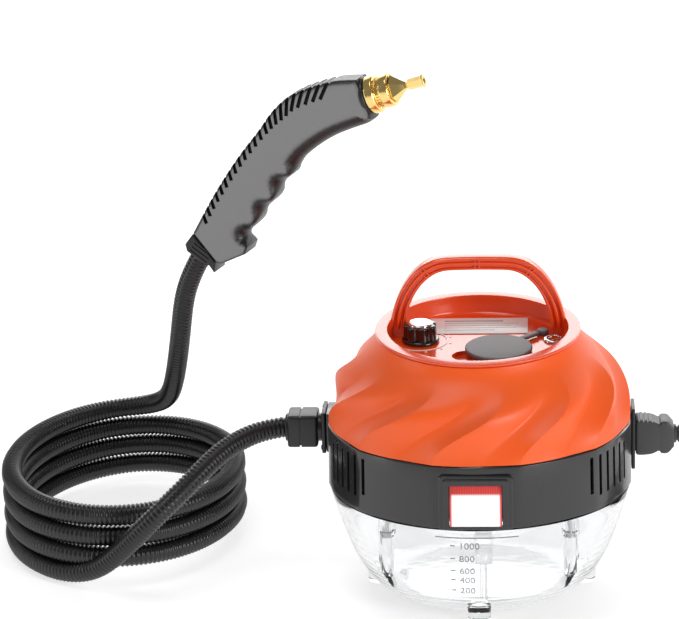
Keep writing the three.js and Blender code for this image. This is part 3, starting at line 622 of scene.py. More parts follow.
grip_lines = [block(118 + 3.2 * k, 119.2 + 3.2 * k, PORT_Y - 11, PORT_Y + 11, PORT_Z + 12.9 - 0.25 * k,
                    PORT_Z + 15, 0.3) for k in range(4)]
nose = block(96.2, 117, PORT_Y - 8.5, PORT_Y + 8.5, PORT_Z - 10.9, PORT_Z + 10.9, 1)
connector = piece("lead_connector", merged(carved(connector_body(), grip_lines), nose), connector_black,
                  stands_for=["cord_connector"])
relief = piece("strain_sleeve", sleeve(), connector_black)

# %% [markdown]
# ## The clear bowl
#
# The bowl is one clear moulding: a deep round wall, four feet and four hollow posts that the housing
# screws go up through. The wall is turned, and the feet and posts are joined to it with a boolean,
# because clear plastic would show any surface left inside it.

# %% Bowl
def bowl_outer(z):
    return 58 + 54 * (max(z - 3, 0) / 79.5) ** 0.365


def bowl_inner(z):
    return 55.5 + 52.5 * (max(z - 5.8, 0) / 77) ** 0.365


def heights(low, high, count, power=2.4):
    return [low + (high - low) * (k / count) ** power for k in range(1, count + 1)]


FOOT_RING, POST_RING = 77, 93
outside = [(bowl_outer(z), z) for z in heights(3.02, 82.4, 22)]
inside = [(bowl_inner(z), z) for z in heights(5.84, 82.8, 22)]
wall = spun([(0, 3), (50, 3), (56, 3), *outside, (110.6, 83), (110.6, 89), (108, 89), (108, 84.2),
             *reversed(inside), (52, 5.8), (0, 5.8)], 0.35, 128, segments=2)
feet, posts, bores = [], [], []
for quarter_turn in range(4):
    turn_foot = Matrix.Rotation(quarter_turn * math.pi / 2, 4, "Z")
    turn_post = Matrix.Rotation((quarter_turn + 0.5) * math.pi / 2, 4, "Z")
    foot = spun([(0, 0), (7.6, 0), (8.5, 1), (8.5, 14), (0, 14)], 0.8, 32)
    feet.append(moved(foot, turn_foot @ offset(FOOT_RING, 0, 0)))
    post = spun([(0, 29), (3, 29.6), (5.2, 33), (5.4, 62), (6.2, 64.5), (6.2, 82.3), (0, 82.3)], 0.9, 32)
    posts.append(moved(post, turn_post @ offset(POST_RING, 0, 0)))
    bore = spun([(0, 5), (3.6, 5), (3.6, 66), (2.2, 66), (2.2, 90), (0, 90)], 0.2, 32)
    bores.append(moved(bore, turn_post @ offset(POST_RING, 0, 0)))
bowl = carved(carved(wall, [*feet, *posts], "UNION"), bores)
piece("clear_bowl", bowl, clear_bowl, stands_for=["tank_bowl"], sharp=40)

# %% [markdown]
# ## Graduations
#
# The filling marks are raised on the outside of the bowl. Each number is a text object turned into a
# mesh and bent round the wall: its width becomes an angle, and its height picks the wall's radius.


# %% Marks
def lettering(text, size, left, z, depth=0.35):
    data = bpy.data.curves.new("marks", "FONT")
    data.body, data.size, data.extrude, data.resolution_u = text, size, depth / 2, 3
    item = into_scene("marks", data)
    graph = bpy.context.evaluated_depsgraph_get()
    bm = bmesh.new()
    bm.from_mesh(item.evaluated_get(graph).to_mesh())
    bpy.data.objects.remove(item)
    bmesh.ops.remove_doubles(bm, verts=bm.verts, dist=1e-4)
    bmesh.ops.subdivide_edges(bm, edges=[e for e in bm.edges if e.calc_length() > 1.5], cuts=2)
    return moved(bm, offset(left, 0, z) @ SIDE_ON)


def round_the_bowl(bm):
    """Bends a flat relief in the X and Z plane onto the front of the bowl."""
    for vert in bm.verts:
        x, y, z = vert.co
        radius = bowl_outer(z) + 0.15 - y
        angle = x / bowl_outer(z)
        vert.co = (radius * math.sin(angle), -radius * math.cos(angle), z)
    return bm


marks = []
for amount, z in (("1000", 69.8), ("800", 58.7), ("600", 48.0), ("400", 39.8), ("200", 30.0)):
    marks.append(lettering(amount, 7.6, -13.2, z - 2.7))
    marks.append(block(-19.4, -16, -0.18, 0.18, z - 0.45, z + 0.45, 0))
full_line = block(-30, 30, -0.18, 0.18, 76.2, 77.0, 0)
bmesh.ops.subdivide_edges(full_line, edges=[e for e in full_line.edges if e.calc_length() > 50], cuts=24)
marks.append(full_line)
mark_material = clear("mark relief", (0.3, 0.31, 0.32), 0.25, 1.46)
piece("bowl_marks", round_the_bowl(merged(*marks)), mark_material)

# %% [markdown]
# ## Flutes
#
# The dome and the ring under it are not plain turned parts. Eleven flutes sweep round the dome and
# lean over on their way up, and the ring answers them with eleven faint flats. One function gives
# the phase of a flute at any angle and height, so that both pieces agree.

# %% The flute's shape
SEAM_Z = 130.4
FLUTES = 11
FLUTE_PHASE = -16.3
FLUTE_TWIST = 29
FALL = 0.62
FLUTE_DEPTH = 4.6


def azimuth(x, y):
    """Degrees from the front, positive to the right."""
    return math.degrees(math.atan2(x, -y))


def flute_phase(angle, t):
    twist = FLUTE_TWIST * eased(t / 0.75)
    return ((angle - FLUTE_PHASE - twist) * FLUTES / 360) % 1


def flute(angle, z):
    """How far the surface stands out: proud at a crease, falling to a hollow, then up to the next."""
    t = (z - SEAM_Z) / (RIM_Z - SEAM_Z)
    phase = flute_phase(angle, t)
    if phase < FALL:
        wave = 1 - 2 * (phase / FALL) ** 1.15
    else:
        wave = -1 + 2 * ((phase - FALL) / (1 - FALL)) ** 2.2
    strength = 0.10 + 0.9 * math.sin(math.pi * min(1, 0.03 + t * 1.15)) ** 0.9
    return wave * FLUTE_DEPTH * strength * (1 - eased((t - 0.5) / 0.36))


def flat_side(angle):
    """How far the ring's eleven faint flats lie inside its circle."""
    phase = flute_phase(angle, 0) - 0.5
    return 1.0 * (1 - (2 * phase) ** 2)


# %% Dome
dome_outer = [(111.8, SEAM_Z), (111.3, 132.4), (109.8, 140), (107, 151.5), (103.4, 161), (98.4, 169.5),
              (91, 178), (84, 184.5), (78.4, 190.5), (76.1, 195.2), (75.4, 197)]
fine_outer = [(p.x, p.z) for p in smooth_line([(r, 0, z) for r, z in dome_outer], 1.4, passes=12)]
dome_inner = [(72.4, 197), (75.4, 188.5), (81.4, 182.3), (88.6, 175.5), (96, 167), (101.5, 158),
              (105.6, 146), (108.6, SEAM_Z)]
COLUMNS = FLUTES * 28
dome = spun([*fine_outer, *dome_inner], 0.25, COLUMNS, segments=2)
for vert in dome.verts:
    x, y, z = vert.co
    radius = math.hypot(x, y)
    t = (z - SEAM_Z) / (RIM_Z - SEAM_Z)
    column = round(azimuth(x, y) / 360 * COLUMNS)
    angle = FLUTE_PHASE + column * 360 / COLUMNS + FLUTE_TWIST * eased(t / 0.75)
    radius += flute(angle + 0.001, z) - 0.9
    across, ahead = math.sin(math.radians(angle)), -math.cos(math.radians(angle))
    lean = radius * ahead * math.tan(RIM_TILT) * eased((z - 145) / 52)
    vert.co = (radius * across, radius * ahead, z + lean)
piece("fluted_dome", dome, orange_satin, stands_for=["dome_cover"], sharp=14)

# %% [markdown]
# ## The black ring
#
# A turned wall with a shelf inside. The vents are slots cut right through it, and the switch has a
# raised frame at the front.

# %% Ring
RING_Z, RING_R = 83.4, 113
SWITCH_Z = 103.6


def rounded_rectangle(x0, x1, y0, y1, radius, segments=6):
    corners = [(x0, y0), (x1, y0), (x1, y1), (x0, y1)]
    return rounded(corners, radius, True, segments)


def front_plate(x0, x1, z0, z1, y_front, y_back, corner, bevel):
    """A rounded plate in the X and Z plane, from y_back out to y_front."""
    bm = plate(rounded_rectangle(x0, x1, z0, z1, corner), y_back - y_front, bevel, 3)
    return moved(bm, offset(0, y_back, 0) @ SIDE_ON)


ring_wall = spun([(RING_R - 0.5, RING_Z), (RING_R, RING_Z + 0.6), (RING_R - 0.1, 88), (RING_R - 0.5, 110),
                  (RING_R - 0.8, 129.4), (110, 130.1), (110.6, 96.4), (103, 96.4), (103, 94.1),
                  (RING_R - 2, 94.1), (RING_R - 2, RING_Z)], 0.3, FLUTES * 24, segments=2)
for vert in ring_wall.verts:
    x, y, z = vert.co
    radius = math.hypot(x, y)
    if radius > 111.5:
        share = 1 - flat_side(azimuth(x, y)) / radius
        vert.co = (x * share, y * share, z)
ring_cuts = [block(-22, 21.4, -120, -100, SWITCH_Z - 17.8, SWITCH_Z + 16.2, 0)]
for side in (-1, 1):
    for k in range(6):
        angle = math.radians(side * (47 + 5 * k))
        slot = block(-1.6, 1.6, -116, -107, 94 if k else 97, 124.5 - (2.2 if k > 4 else 0), 0.5)
        ring_cuts.append(moved(slot, Matrix.Rotation(angle, 4, "Z")))
hose_hole = rod(13.3, -125, -95, 0.1, 48)
ring_cuts.append(moved(hose_hole, offset(0, 25, 114) @ ALONG_X))
ring_cuts.append(block(95, 125, PORT_Y - 11.4, PORT_Y + 11.4, PORT_Z - 13.8, PORT_Z + 13.8, 0))
ring_cuts.append(block(112.4, 120, PORT_Y - 14, PORT_Y + 14, 80, 140, 0))
switch_frame = front_plate(-27, 26.4, RING_Z + 0.4, 124.4, -114.1, -110.2, 3.6, 1.1)
hose_seat = block(-115, -104, 10, 40, 99, 129, 1)
power_seat = block(104, 112.4, PORT_Y - 14, PORT_Y + 14, 97, 130, 0.6)
ring = carved(merged(ring_wall, switch_frame, hose_seat, power_seat), ring_cuts)
piece("black_ring", ring, black_gloss, stands_for=["mid_ring"], sharp=28)

# %% [markdown]
# ## Power switch
#
# A bezel snaps into the frame and holds a rocker. Its upper part is deep red where it dips into the case;
# its lower face is painted nearly white as a painted reflection of glare, and the whole rocker has a faint
# painted glow.

# %% Bezel and rocker
bezel = merged(front_plate(-23.6, 23, SWITCH_Z - 18.6, SWITCH_Z + 18.6, -116.1, -114.3, 2.2, 0.6),
               block(-21.6, 21, -114.9, -111.3, SWITCH_Z - 17.4, SWITCH_Z + 15.8, 0.3),
               block(-21.6, 21, -114.8, -90, SWITCH_Z - 6.4, SWITCH_Z + 15.8, 0.6))
bezel_cuts = [block(-19.2, 18.6, -120, -109, SWITCH_Z - 16.7, SWITCH_Z - 5.1, 0.2),
              block(-19.2, 18.6, -120, -97, SWITCH_Z - 5.2, SWITCH_Z + 14.4, 0.2)]
piece("switch_bezel", carved(bezel, bezel_cuts), black_gloss, stands_for=["switch_housing"])

rocker_side = [(-119.2, SWITCH_Z - 15), (-116.4, SWITCH_Z + 4.5), (-113.4, SWITCH_Z + 13.6),
               (-111.5, SWITCH_Z + 13.4), (-104.5, SWITCH_Z + 6.4), (-102.5, SWITCH_Z - 1.6),
               (-104.5, SWITCH_Z - 4.7), (-113, SWITCH_Z - 4.7), (-114.8, SWITCH_Z - 7.6),
               (-115.2, SWITCH_Z - 15)]
ROCKER_WIDTH, ROCKER_MIDDLE = 36.8, -0.3
YZ_TO_SIDE = Matrix(((0, 0, 1, ROCKER_MIDDLE - ROCKER_WIDTH / 2), (1, 0, 0, 0), (0, 1, 0, 0), (0, 0, 0, 1)))
rocker = moved(plate(rounded(rocker_side, 0.5), ROCKER_WIDTH, 0.5), YZ_TO_SIDE)
bmesh.ops.recalc_face_normals(rocker, faces=rocker.faces)


def rocker_painted_glare():
    """Red at the top and round the rim; near white on the lower face as a painted reflection of glare, with a
    faint painted glow.
    """
    material, tree, shader = node_material("rocker with painted glare")
    place = add_node(tree, "TexCoord").outputs["Object"]
    split = add_node(tree, "SeparateXYZ", {0: place})
    lower = add_node(tree, "MapRange", {"Value": split.outputs["Z"], "From Min": (SWITCH_Z + 8.6) * MM,
                                        "From Max": (SWITCH_Z + 6.4) * MM},
                     interpolation_type="SMOOTHSTEP")
    across = add_node(tree, "Math", {0: split.outputs["X"], 1: at(ROCKER_MIDDLE, 0, 0).x},
                      operation="SUBTRACT")
    away = add_node(tree, "Math", {0: across.outputs[0]}, operation="ABSOLUTE")
    rim = add_node(tree, "MapRange", {"Value": away.outputs[0], "From Min": 0.0176, "From Max": 0.0164})
    # painted reflection: the lower face inside the rim is mixed to near white as glare
    lit = add_node(tree, "Math", {0: lower.outputs["Result"], 1: rim.outputs["Result"]},
                   operation="MULTIPLY")
    ribs = add_node(tree, "TexWave", {"Vector": place, "Scale": 260}, bands_direction="X")
    red = add_node(tree, "Mix", {0: ribs.outputs["Fac"], 6: (0.50, 0.03, 0.03, 1),
                                 7: (0.74, 0.09, 0.08, 1)}, data_type="RGBA")
    mix = add_node(tree, "Mix", {0: lit.outputs[0], 6: red.outputs[2], 7: (0.93, 0.90, 0.90, 1)},
                   data_type="RGBA")
    # painted glow: the colour is also emitted, so the rocker glows a little
    for label in ("Base Color", "Emission Color"):
        tree.links.new(mix.outputs[2], shader.inputs[label])
    shader.inputs["Emission Strength"].default_value = 0.25
    shader.inputs["Roughness"].default_value = 0.15
    return material


piece("rocker_with_painted_glare", rocker, rocker_painted_glare(), body="rocker", stands_for=["power_rocker"])

# %% [markdown]
# ## Control panel
#
# The panel is sunk into a broad flat rim that leans forward. It is turned, with soft corners where
# the wall meets the deck, and then the openings are cut: the filler mouth and a finger notch
# beside it, which lets a fingertip under the cap.

# %% Panel
DECK = -14
KNOB_AT, CAP_AT, LAMP_AT = (-42.5, 8), (15.5, -14), (55.6, 7.5)
NOTCH_AT, STRAP_END = (-9, -22), (47.5, 20)


def on_deck(point, z=0.0):
    return offset(point[0], point[1], z)


pan = spun([(0, DECK - 2.2), (66.5, DECK - 2.2), (68.6, -2.2), (75.4, -2.2), (75.4, -0.3), (74.6, 0),
            (66.6, 0), (66.3, -0.5), (65.3, DECK + 1.4), (63.8, DECK), (0, DECK)], 0.9, 160, segments=5)
notch_cup = moved(rod(11, DECK - 6, DECK - 1, 0.5, 48), on_deck(NOTCH_AT))
notch = moved(spun([(0, DECK - 3.6), (9.5, DECK - 3.6), (9.6, DECK + 3), (0, DECK + 3)], 0.6, 48),
              on_deck(NOTCH_AT))
mouth = moved(rod(16.3, -24, -5, 0.1, 64), on_deck(CAP_AT))
panel = carved(carved(pan, [notch_cup], "UNION"), [notch, mouth])
piece("sunk_panel", panel, orange_gloss, PANEL, stands_for=["control_panel"], sharp=35)

# %% Label and dial
label = block(-37, 36.5, 21, 52.5, DECK + 0.3, DECK + 0.7, 0.12, 2)
piece("blank_label", label, label_white, PANEL, stands_for=["rating_label"])
bars = []
for row, (x0, x1, thick) in enumerate(((-26, 18, 2.6), (-26, 30, 0.8), (-26, 24, 0.8), (-26, 28, 0.8),
                                       (-26, 12, 0.8))):
    y = 46 - 4.6 * row
    bars.append(block(x0, x1, y - thick / 2, y + thick / 2, DECK + 0.7, DECK + 0.76, 0))
piece("label_bars", merged(*bars), label_ink, PANEL)

dial = spun([(19.2, DECK + 0.02), (20.4, DECK + 0.02), (20.4, DECK + 0.4), (19.2, DECK + 0.4)], 0.1, 96)
away = [v for v in dial.verts if azimuth(v.co.x, v.co.y) < -60 or azimuth(v.co.x, v.co.y) > 150]
bmesh.ops.delete(dial, geom=away, context="VERTS")
bmesh.ops.holes_fill(dial, edges=[e for e in dial.edges if e.is_boundary], sides=0)
dots = [moved(spun([(0, 0.02), (0.9, 0.02), (0.9, 0.3), (0, 0.3)], 0.1, 16),
              Matrix.Translation((22.8 * math.sin(math.radians(a)), -22.8 * math.cos(math.radians(a)), DECK)))
        for a in range(-20, 141, 32)]
piece("dial_marks", merged(dial, *dots), dial_white, PANEL @ on_deck(KNOB_AT),
      stands_for=["dial_ring"])

# %% [markdown]
# ## Steam knob, cap and lamp
#
# The knob turns on the regulator under the deck. Its grip has seven scallops, made by pulling in the
# radius of a turned body, and a bright disc closes its top. The filler cap is a soft rubber disc on
# a strap, so it bends up and stays with the steamer.

# %% Knob
LOBES = 7
KNOB_PLACE = PANEL @ on_deck(KNOB_AT)
grip = spun([(0, DECK + 2.5), (12.6, DECK + 2.5), (12.2, DECK + 12.8), (11.4, DECK + 13.6), (0, DECK + 13.6)],
            0.6, LOBES * 16)
bmesh.ops.subdivide_edges(grip, edges=[e for e in grip.edges if e.calc_length() > 6
                                       and abs(e.verts[0].co.z - e.verts[1].co.z) > 5], cuts=8)
for vert in grip.verts:
    x, y, z = vert.co
    radius = math.hypot(x, y)
    if radius > 8:
        scallop = (0.5 + 0.5 * math.cos(LOBES * math.atan2(y, x))) ** 2
        share = 1 - 2.3 * scallop / radius
        vert.co = (x * share, y * share, z)
skirt = spun([(0, DECK + 0.9), (13.9, DECK + 0.9), (14, DECK + 2), (13.2, DECK + 3.1),
              (0, DECK + 3.1)], 0.5, 96)
shaft = rod(2.9, DECK - 6, DECK + 1.5, 0.2)
piece("fluted_knob", merged(grip, skirt, shaft), knob_gloss, KNOB_PLACE, body="knob",
      stands_for=["steam_knob"], sharp=34)
disc = spun([(0, DECK + 13.5), (9.2, DECK + 13.5), (9.2, DECK + 14.5), (8, DECK + 15),
             (0, DECK + 15.3)], 0.5, 96)
piece("bright_disc", disc, bright_plate, KNOB_PLACE, body="knob", stands_for=["knob_cap"])

# %% Filler cap
CAP_R, NECK_R = 24.6, 16
strap_turn = math.atan2(STRAP_END[1] - CAP_AT[1], STRAP_END[0] - CAP_AT[0])
strap_reach = math.hypot(STRAP_END[0] - CAP_AT[0], STRAP_END[1] - CAP_AT[1])
CAP_PLACE = PANEL @ on_deck(CAP_AT, DECK) @ Matrix.Rotation(strap_turn, 4, "Z")
cap = merged(
    spun([(0, 1.2), (CAP_R - 0.4, 1.2), (CAP_R, 1.7), (CAP_R, 3.5), (CAP_R - 0.9, 4.2), (0, 4.3)], 0.4, 144),
    spun([(10, -5), (NECK_R - 2.9, -5), (NECK_R - 2.5, -4.2), (NECK_R - 2.5, 1.6), (10, 1.6)], 0.3, 96),
    block(CAP_R - 3, strap_reach - 5.5, -2.4, 2.4, 1.5, 4.0, 0.7))
piece("rubber_cap", cap, cap_rubber, CAP_PLACE, body="cap", stands_for=["filler_cap"])
stud = spun([(0, -3.4), (2, -3.4), (2, 0.3), (4.3, 0.3), (4.4, 3.3), (3.5, 4), (0, 4.1)], 0.3, 48)
piece("strap_stud", stud, cap_rubber, PANEL @ on_deck(STRAP_END, DECK),
      stands_for=["cap_anchor"])

# %% Lamp
LAMP_PLACE = PANEL @ on_deck(LAMP_AT, DECK)
lamp_rim = spun([(5.2, -5), (6, -5), (6, 0.3), (7.6, 0.3), (7.7, 0.8), (6.9, 1.8), (5.6, 2),
                 (5.2, 1.4)], 0.25, 96)
piece("lamp_rim", lamp_rim, bright_plate, LAMP_PLACE, stands_for=["indicator_bezel"])
lens = spun([(0, -2), (4.9, -2), (4.9, 1.4), (4, 2.3), (2.4, 2.9), (0, 3.1)], 0.6, 96)
piece("lamp_lens", lens, lamp_lens, LAMP_PLACE, stands_for=["indicator_lens"])

# %% [markdown]
# ## Carrying handle
#
# The arch is one moulding whose front carries three ribs with two channels between them. It is
# lofted: the same ribbed section is laid across the arch at many places, and each section is
# bridged to the next. Small cross ribs stiffen the channels at the crown and the shoulders.

# %% Handle
HANDLE_FRONT, HANDLE_BACK = 15, 29
OUTER_SIDE = [(64.4, 186.2), (64.4, 193.2), (65.6, 193.9), (65, 199), (63.4, 206.5), (60.6, 215), (56, 225),
              (49.5, 234.3), (43, 240.8), (36, 245.2), (28.5, 247.5), (15, 248.2), (0, 248.4)]
INNER_SIDE = [(54.8, 186.2), (54.8, 193.2), (53.9, 193.9), (53.2, 200), (51.4, 208), (48.9, 215.5),
              (45.4, 222), (40.6, 228.3), (34.6, 233.6), (27, 237.6), (19, 238.1), (11, 238.3), (0, 238.4)]
SECTION = [(0, 27), (0, 17), (0.04, 15.6), (0.12, 15), (0.19, 15.1), (0.24, 17.6), (0.37, 17.6), (0.41, 15.2),
           (0.46, 15), (0.54, 15), (0.59, 15.2), (0.63, 17.6), (0.76, 17.6), (0.81, 15.1), (0.88, 15),
           (0.96, 15.6), (1, 17), (1, 27), (0.8, 28.9), (0.7, 29), (0.3, 29), (0.2, 28.9)]


def arch_side(side, count=26):
    """One side of the arch from the right foot over the crown to the left foot."""
    foot = [Vector((x, 0, z)) for x, z in side[:3]]
    bow = smooth_line([(x, 0, z) for x, z in side[2:]], 0.8, passes=14)
    step = line_length(bow) / count
    half = foot[:2] + resampled(bow, step)[:count] + [Vector((0, 0, side[-1][1]))]
    half[2] = foot[2]
    return half + [Vector((-p.x, 0, p.z)) for p in reversed(half[:-1])]


handle = bmesh.new()
loops = []
for outer, inner in zip(arch_side(OUTER_SIDE), arch_side(INNER_SIDE)):
    neck = 1 if outer.z < 193.5 else 0
    loop = []
    for u, y in SECTION:
        spot = inner.lerp(outer, u)
        front = max(y, HANDLE_FRONT + 2.6) if neck else y
        loop.append(handle.verts.new((spot.x, front, spot.z)))
    loops.append(loop)
for first, second in zip(loops, loops[1:]):
    for k in range(len(SECTION)):
        nxt = (k + 1) % len(SECTION)
        handle.faces.new((first[k], first[nxt], second[nxt], second[k]))
handle.faces.new(reversed(loops[0]))
handle.faces.new(loops[-1])
bmesh.ops.recalc_face_normals(handle, faces=handle.faces)
cross_ribs = []
for x, z, lean in ((0, 243.3, 0), (39, 236.8, 38), (-39, 236.8, -38)):
    for shift in (-1.5, 1.5):
        rib = block(shift - 0.5, shift + 0.5, 15.5, 18.4, -4.2, 4.2, 0.15, 1)
        cross_ribs.append(moved(rib, offset(x, 0, z)
                                @ rotation(lean, "Y")))
piece("ribbed_handle", merged(handle, *cross_ribs), orange_gloss,
      stands_for=["carry_handle"], sharp=40)

# %% [markdown]
# ## Steam gun
#
# The gun is two moulded halves screwed together. Seen from the side it has a smooth back, a belly
# and finger hollows, and its edge is rounded by a different amount at each place: little along the
# back and at the crests of the grip, much in the hollows. Each half is a height field over the same
# outline. Its height comes from the distance to the edge and the rounding of the nearest edge.

# %% Outline of the gun
GUN_HALF = 14
BACK, BELLY, CREST, HOLLOW, HEEL, MOUTH = 4.5, 12.5, 5.0, 13.4, 3.0, 3.0
back_line = [(-69.5, -66), (-52.4, -36.7), (-31.2, -5.6), (-11.9, 18.3), (-1.6, 32.1), (12.7, 44.7),
             (26.8, 51.3), (47.6, 57.4), (66.5, 59.2)]
belly_line = [(77.8, 29), (73.9, 25.6), (60.1, 20.3), (46.2, 14.3), (32.1, 5.6), (19.3, -5.1), (15.6, -11.3)]
grip_line = [(15.6, -11.3, BELLY), (12.6, -16.4, CREST), (3.4, -23.2, HOLLOW), (-2, -36, CREST),
             (-11, -43.8, HOLLOW), (-17.2, -55.6, CREST), (-27.6, -66, HOLLOW), (-25.1, -75, HEEL)]
heel_line = [(-27.2, -80.6), (-46.9, -89.5), (-51.1, -88.3), (-69.5, -66)]


def edge_points(line, rounding, step=1.2, passes=6):
    curve = smooth_line([(x, 0, z) for x, z in line], 0.6, passes=passes)
    return [(p.x, p.z, rounding) for p in resampled(curve, step)]


def grip_points(step=1.2):
    """The grip's edge; its rounding passes smoothly from crest to hollow."""
    curve = resampled(smooth_line([(x, 0, z) for x, z, _ in grip_line], 0.6, passes=8), step)
    points = []
    for p in curve:
        near = sorted(((p.x - x) ** 2 + (p.z - z) ** 2, r) for x, z, r in grip_line)[:2]
        weights = [1 / (0.5 + d) for d, _ in near]
        points.append((p.x, p.z, sum(w * r for w, (_, r) in zip(weights, near)) / sum(weights)))
    return points


def straight(points, rounding, step=1.2):
    result = []
    for (x0, z0), (x1, z1) in zip(points, points[1:]):
        count = max(1, round(math.hypot(x1 - x0, z1 - z0) / step))
        result += [(x0 + (x1 - x0) * k / count, z0 + (z1 - z0) * k / count, rounding) for k in range(count)]
    return result


gun_edge = (edge_points(back_line, BACK)[:-1] + straight([back_line[-1], belly_line[0]], MOUTH)
            + edge_points(belly_line, BELLY)[:-1] + grip_points()[:-1]
            + straight([grip_line[-1][:2], *heel_line], HEEL))
edge_tree = KDTree(len(gun_edge))
for k, (x, z, _) in enumerate(gun_edge):
    edge_tree.insert((x, 0, z), k)
edge_tree.balance()


def edge_distance(x, z):
    """Distance to the outline's polyline, and the rounding there."""
    found = edge_tree.find_n((x, 0, z), 6)
    best = 1e9
    for _, k, _ in found[:2]:
        for j in (k - 1, k):
            a, b = Vector(gun_edge[j][:2]), Vector(gun_edge[(j + 1) % len(gun_edge)][:2])
            along = b - a
            share = min(1, max(0, (Vector((x, z)) - a).dot(along) / max(along.length_squared, 1e-9)))
            best = min(best, (Vector((x, z)) - a - along * share).length)
    weights = [1 / (1.5 + d * d) for _, _, d in found]
    rounding = sum(w * gun_edge[k][2] for w, (_, k, _) in zip(weights, found)) / sum(weights)
    return best, rounding


def gun_height(x, z):
    distance, rounding = edge_distance(x, z)
    rounding = min(rounding, GUN_HALF - 0.6)
    if distance >= rounding:
        return GUN_HALF
    return GUN_HALF - rounding + math.sqrt(max(rounding ** 2 - (rounding - distance) ** 2, 0))


print(f"gun outline: {len(gun_edge)} points")

# %% [markdown]
# A constrained triangulation fills the outline with points at rings near the edge, where the surface
# bends, and with a coarse grid in the flat middle. The flat part's top and the parting face under it
# then get one row of side faces, which closes the shell.


# %% Shell of one half
def gun_plan():
    """Points and triangles over the outline."""
    edge = [Vector((x, z)) for x, z, _ in gun_edge]
    count = len(edge)
    points = list(edge)
    for depth in (0.35, 1.0, 2.0, 3.4, 5.2, 7.4, 10.0):
        for k in range(0, count, 1 if depth < 3 else 2):
            tangent = (edge[(k + 1) % count] - edge[k - 1]).normalized()
            inward = Vector((tangent.y, -tangent.x))
            spot = edge[k] + inward * depth
            if edge_distance(*spot)[0] > 0.93 * depth:
                points.append(spot)
    for gx in range(-72, 80, 3):
        for gz in range(-90, 62, 3):
            points.append(Vector((gx, gz)))
    borders = [(k, (k + 1) % count) for k in range(count)]
    coords, _, faces, _, _, _ = delaunay_2d_cdt(points, borders, [], 1, 0.02)
    return coords, faces


plan_points, plan_faces = gun_plan()
plan_heights = [gun_height(*p) for p in plan_points]
print(f"gun plan: {len(plan_points)} points, {len(plan_faces)} triangles")
SLOT_COUNT, SLOT_WIDTH, SLOT_PITCH, SLOT_DEPTH = 23, 2.9, 7.0, 1.4
SLOT_SLANT = 38


def gun_shell(side):
    bm = bmesh.new()
    high = [bm.verts.new((p.x, side * h, p.y)) for p, h in zip(plan_points, plan_heights)]
    low = [bm.verts.new((p.x, side * 0.15, p.y)) for p in plan_points]
    for a, b, c in plan_faces:
        bm.faces.new((high[a], high[b], high[c]))
        bm.faces.new((low[c], low[b], low[a]))
    for a, b in gun_rim():
        bm.faces.new((high[a], high[b], low[b], low[a]))
    bmesh.ops.recalc_face_normals(bm, faces=bm.faces)
    return bm


def gun_rim():
    """The plan's border edges: those with one triangle."""
    seen = {}
    for face in plan_faces:
        for k in range(3):
            pair = (face[k], face[(k + 1) % 3])
            seen[frozenset(pair)] = None if frozenset(pair) in seen else pair
    return [pair for pair in seen.values() if pair]


def back_slots():
    """C-shaped cutters across the back: each leaves a groove that follows the rounded edge."""
    curve = resampled(smooth_line([(x, 0, z) for x, z in back_line], 0.6, passes=6), 1.0)
    total = len(curve)
    cutters = []
    for k in range(SLOT_COUNT):
        spot = round(19 + k * SLOT_PITCH)
        if spot > total - 8:
            break
        long = 8.5 + 6 * eased((k / SLOT_COUNT - 0.5) / 0.25)
        tangent = (curve[spot + 1] - curve[spot - 1]).normalized()
        inward = Vector((tangent.z, 0, -tangent.x))
        outline = [(-3, -20), (long, -20), (long, -GUN_HALF + 2.2), (SLOT_DEPTH, -GUN_HALF + 4.6),
                   (SLOT_DEPTH, GUN_HALF - 4.6), (long, GUN_HALF - 2.2), (long, 20), (-3, 20)]
        cutter = moved(plate(outline, SLOT_WIDTH, 0), offset(0, 0, -SLOT_WIDTH / 2))
        slant = Matrix.Rotation(math.radians(SLOT_SLANT), 3, "Y")
        basis = Matrix((slant @ inward, Vector((0, 1, 0)), slant @ tangent)).transposed().to_4x4()
        cutters.append(moved(cutter, Matrix.Translation(curve[spot]) @ basis))
    return cutters


# %% Both halves
def painted_edge_shade():
    """Grey on the flat sides; painted shade, near black, on the rounded edges and in the grooves."""
    material = grained("gun plastic", (0.02, 0.02, 0.02), 0.36, bump=0.08, fine=2800)
    tree = material.node_tree
    flat = add_node(tree, "Attribute", attribute_name="flat")
    # painted shade: near black where the edge rounds over or a groove sinks in, grey on the flat sides
    tone = add_node(tree, "Mix", {0: flat.outputs["Fac"], 6: (0.006, 0.006, 0.007, 1),
                                  7: (0.215, 0.215, 0.215, 1)}, data_type="RGBA")
    tree.links.new(tone.outputs[2], tree.nodes["Principled BSDF"].inputs["Base Color"])
    return material


gun_plastic = painted_edge_shade()


def shade_by_height(item):
    """Stores how flat the surface is at each corner, 0 in a groove or on the rounded edge, where the painted
    shade goes.
    """
    mesh = item.data
    back_to_gun = GUN.inverted()
    layer = mesh.attributes.new("flat", "FLOAT", "CORNER")
    places = [back_to_gun @ v.co for v in mesh.vertices]
    heights_here = [gun_height(p.x, p.z) for p in places]
    for face in mesh.polygons:
        middle = back_to_gun @ face.center
        in_groove = abs(middle.y) < gun_height(middle.x, middle.z) - 0.35 and face.normal.length > 0
        for loop in face.loop_indices:
            vert = mesh.loops[loop].vertex_index
            flatness = eased(1 - (GUN_HALF - heights_here[vert]) / 1.1)
            layer.data[loop].value = 0 if in_groove else flatness


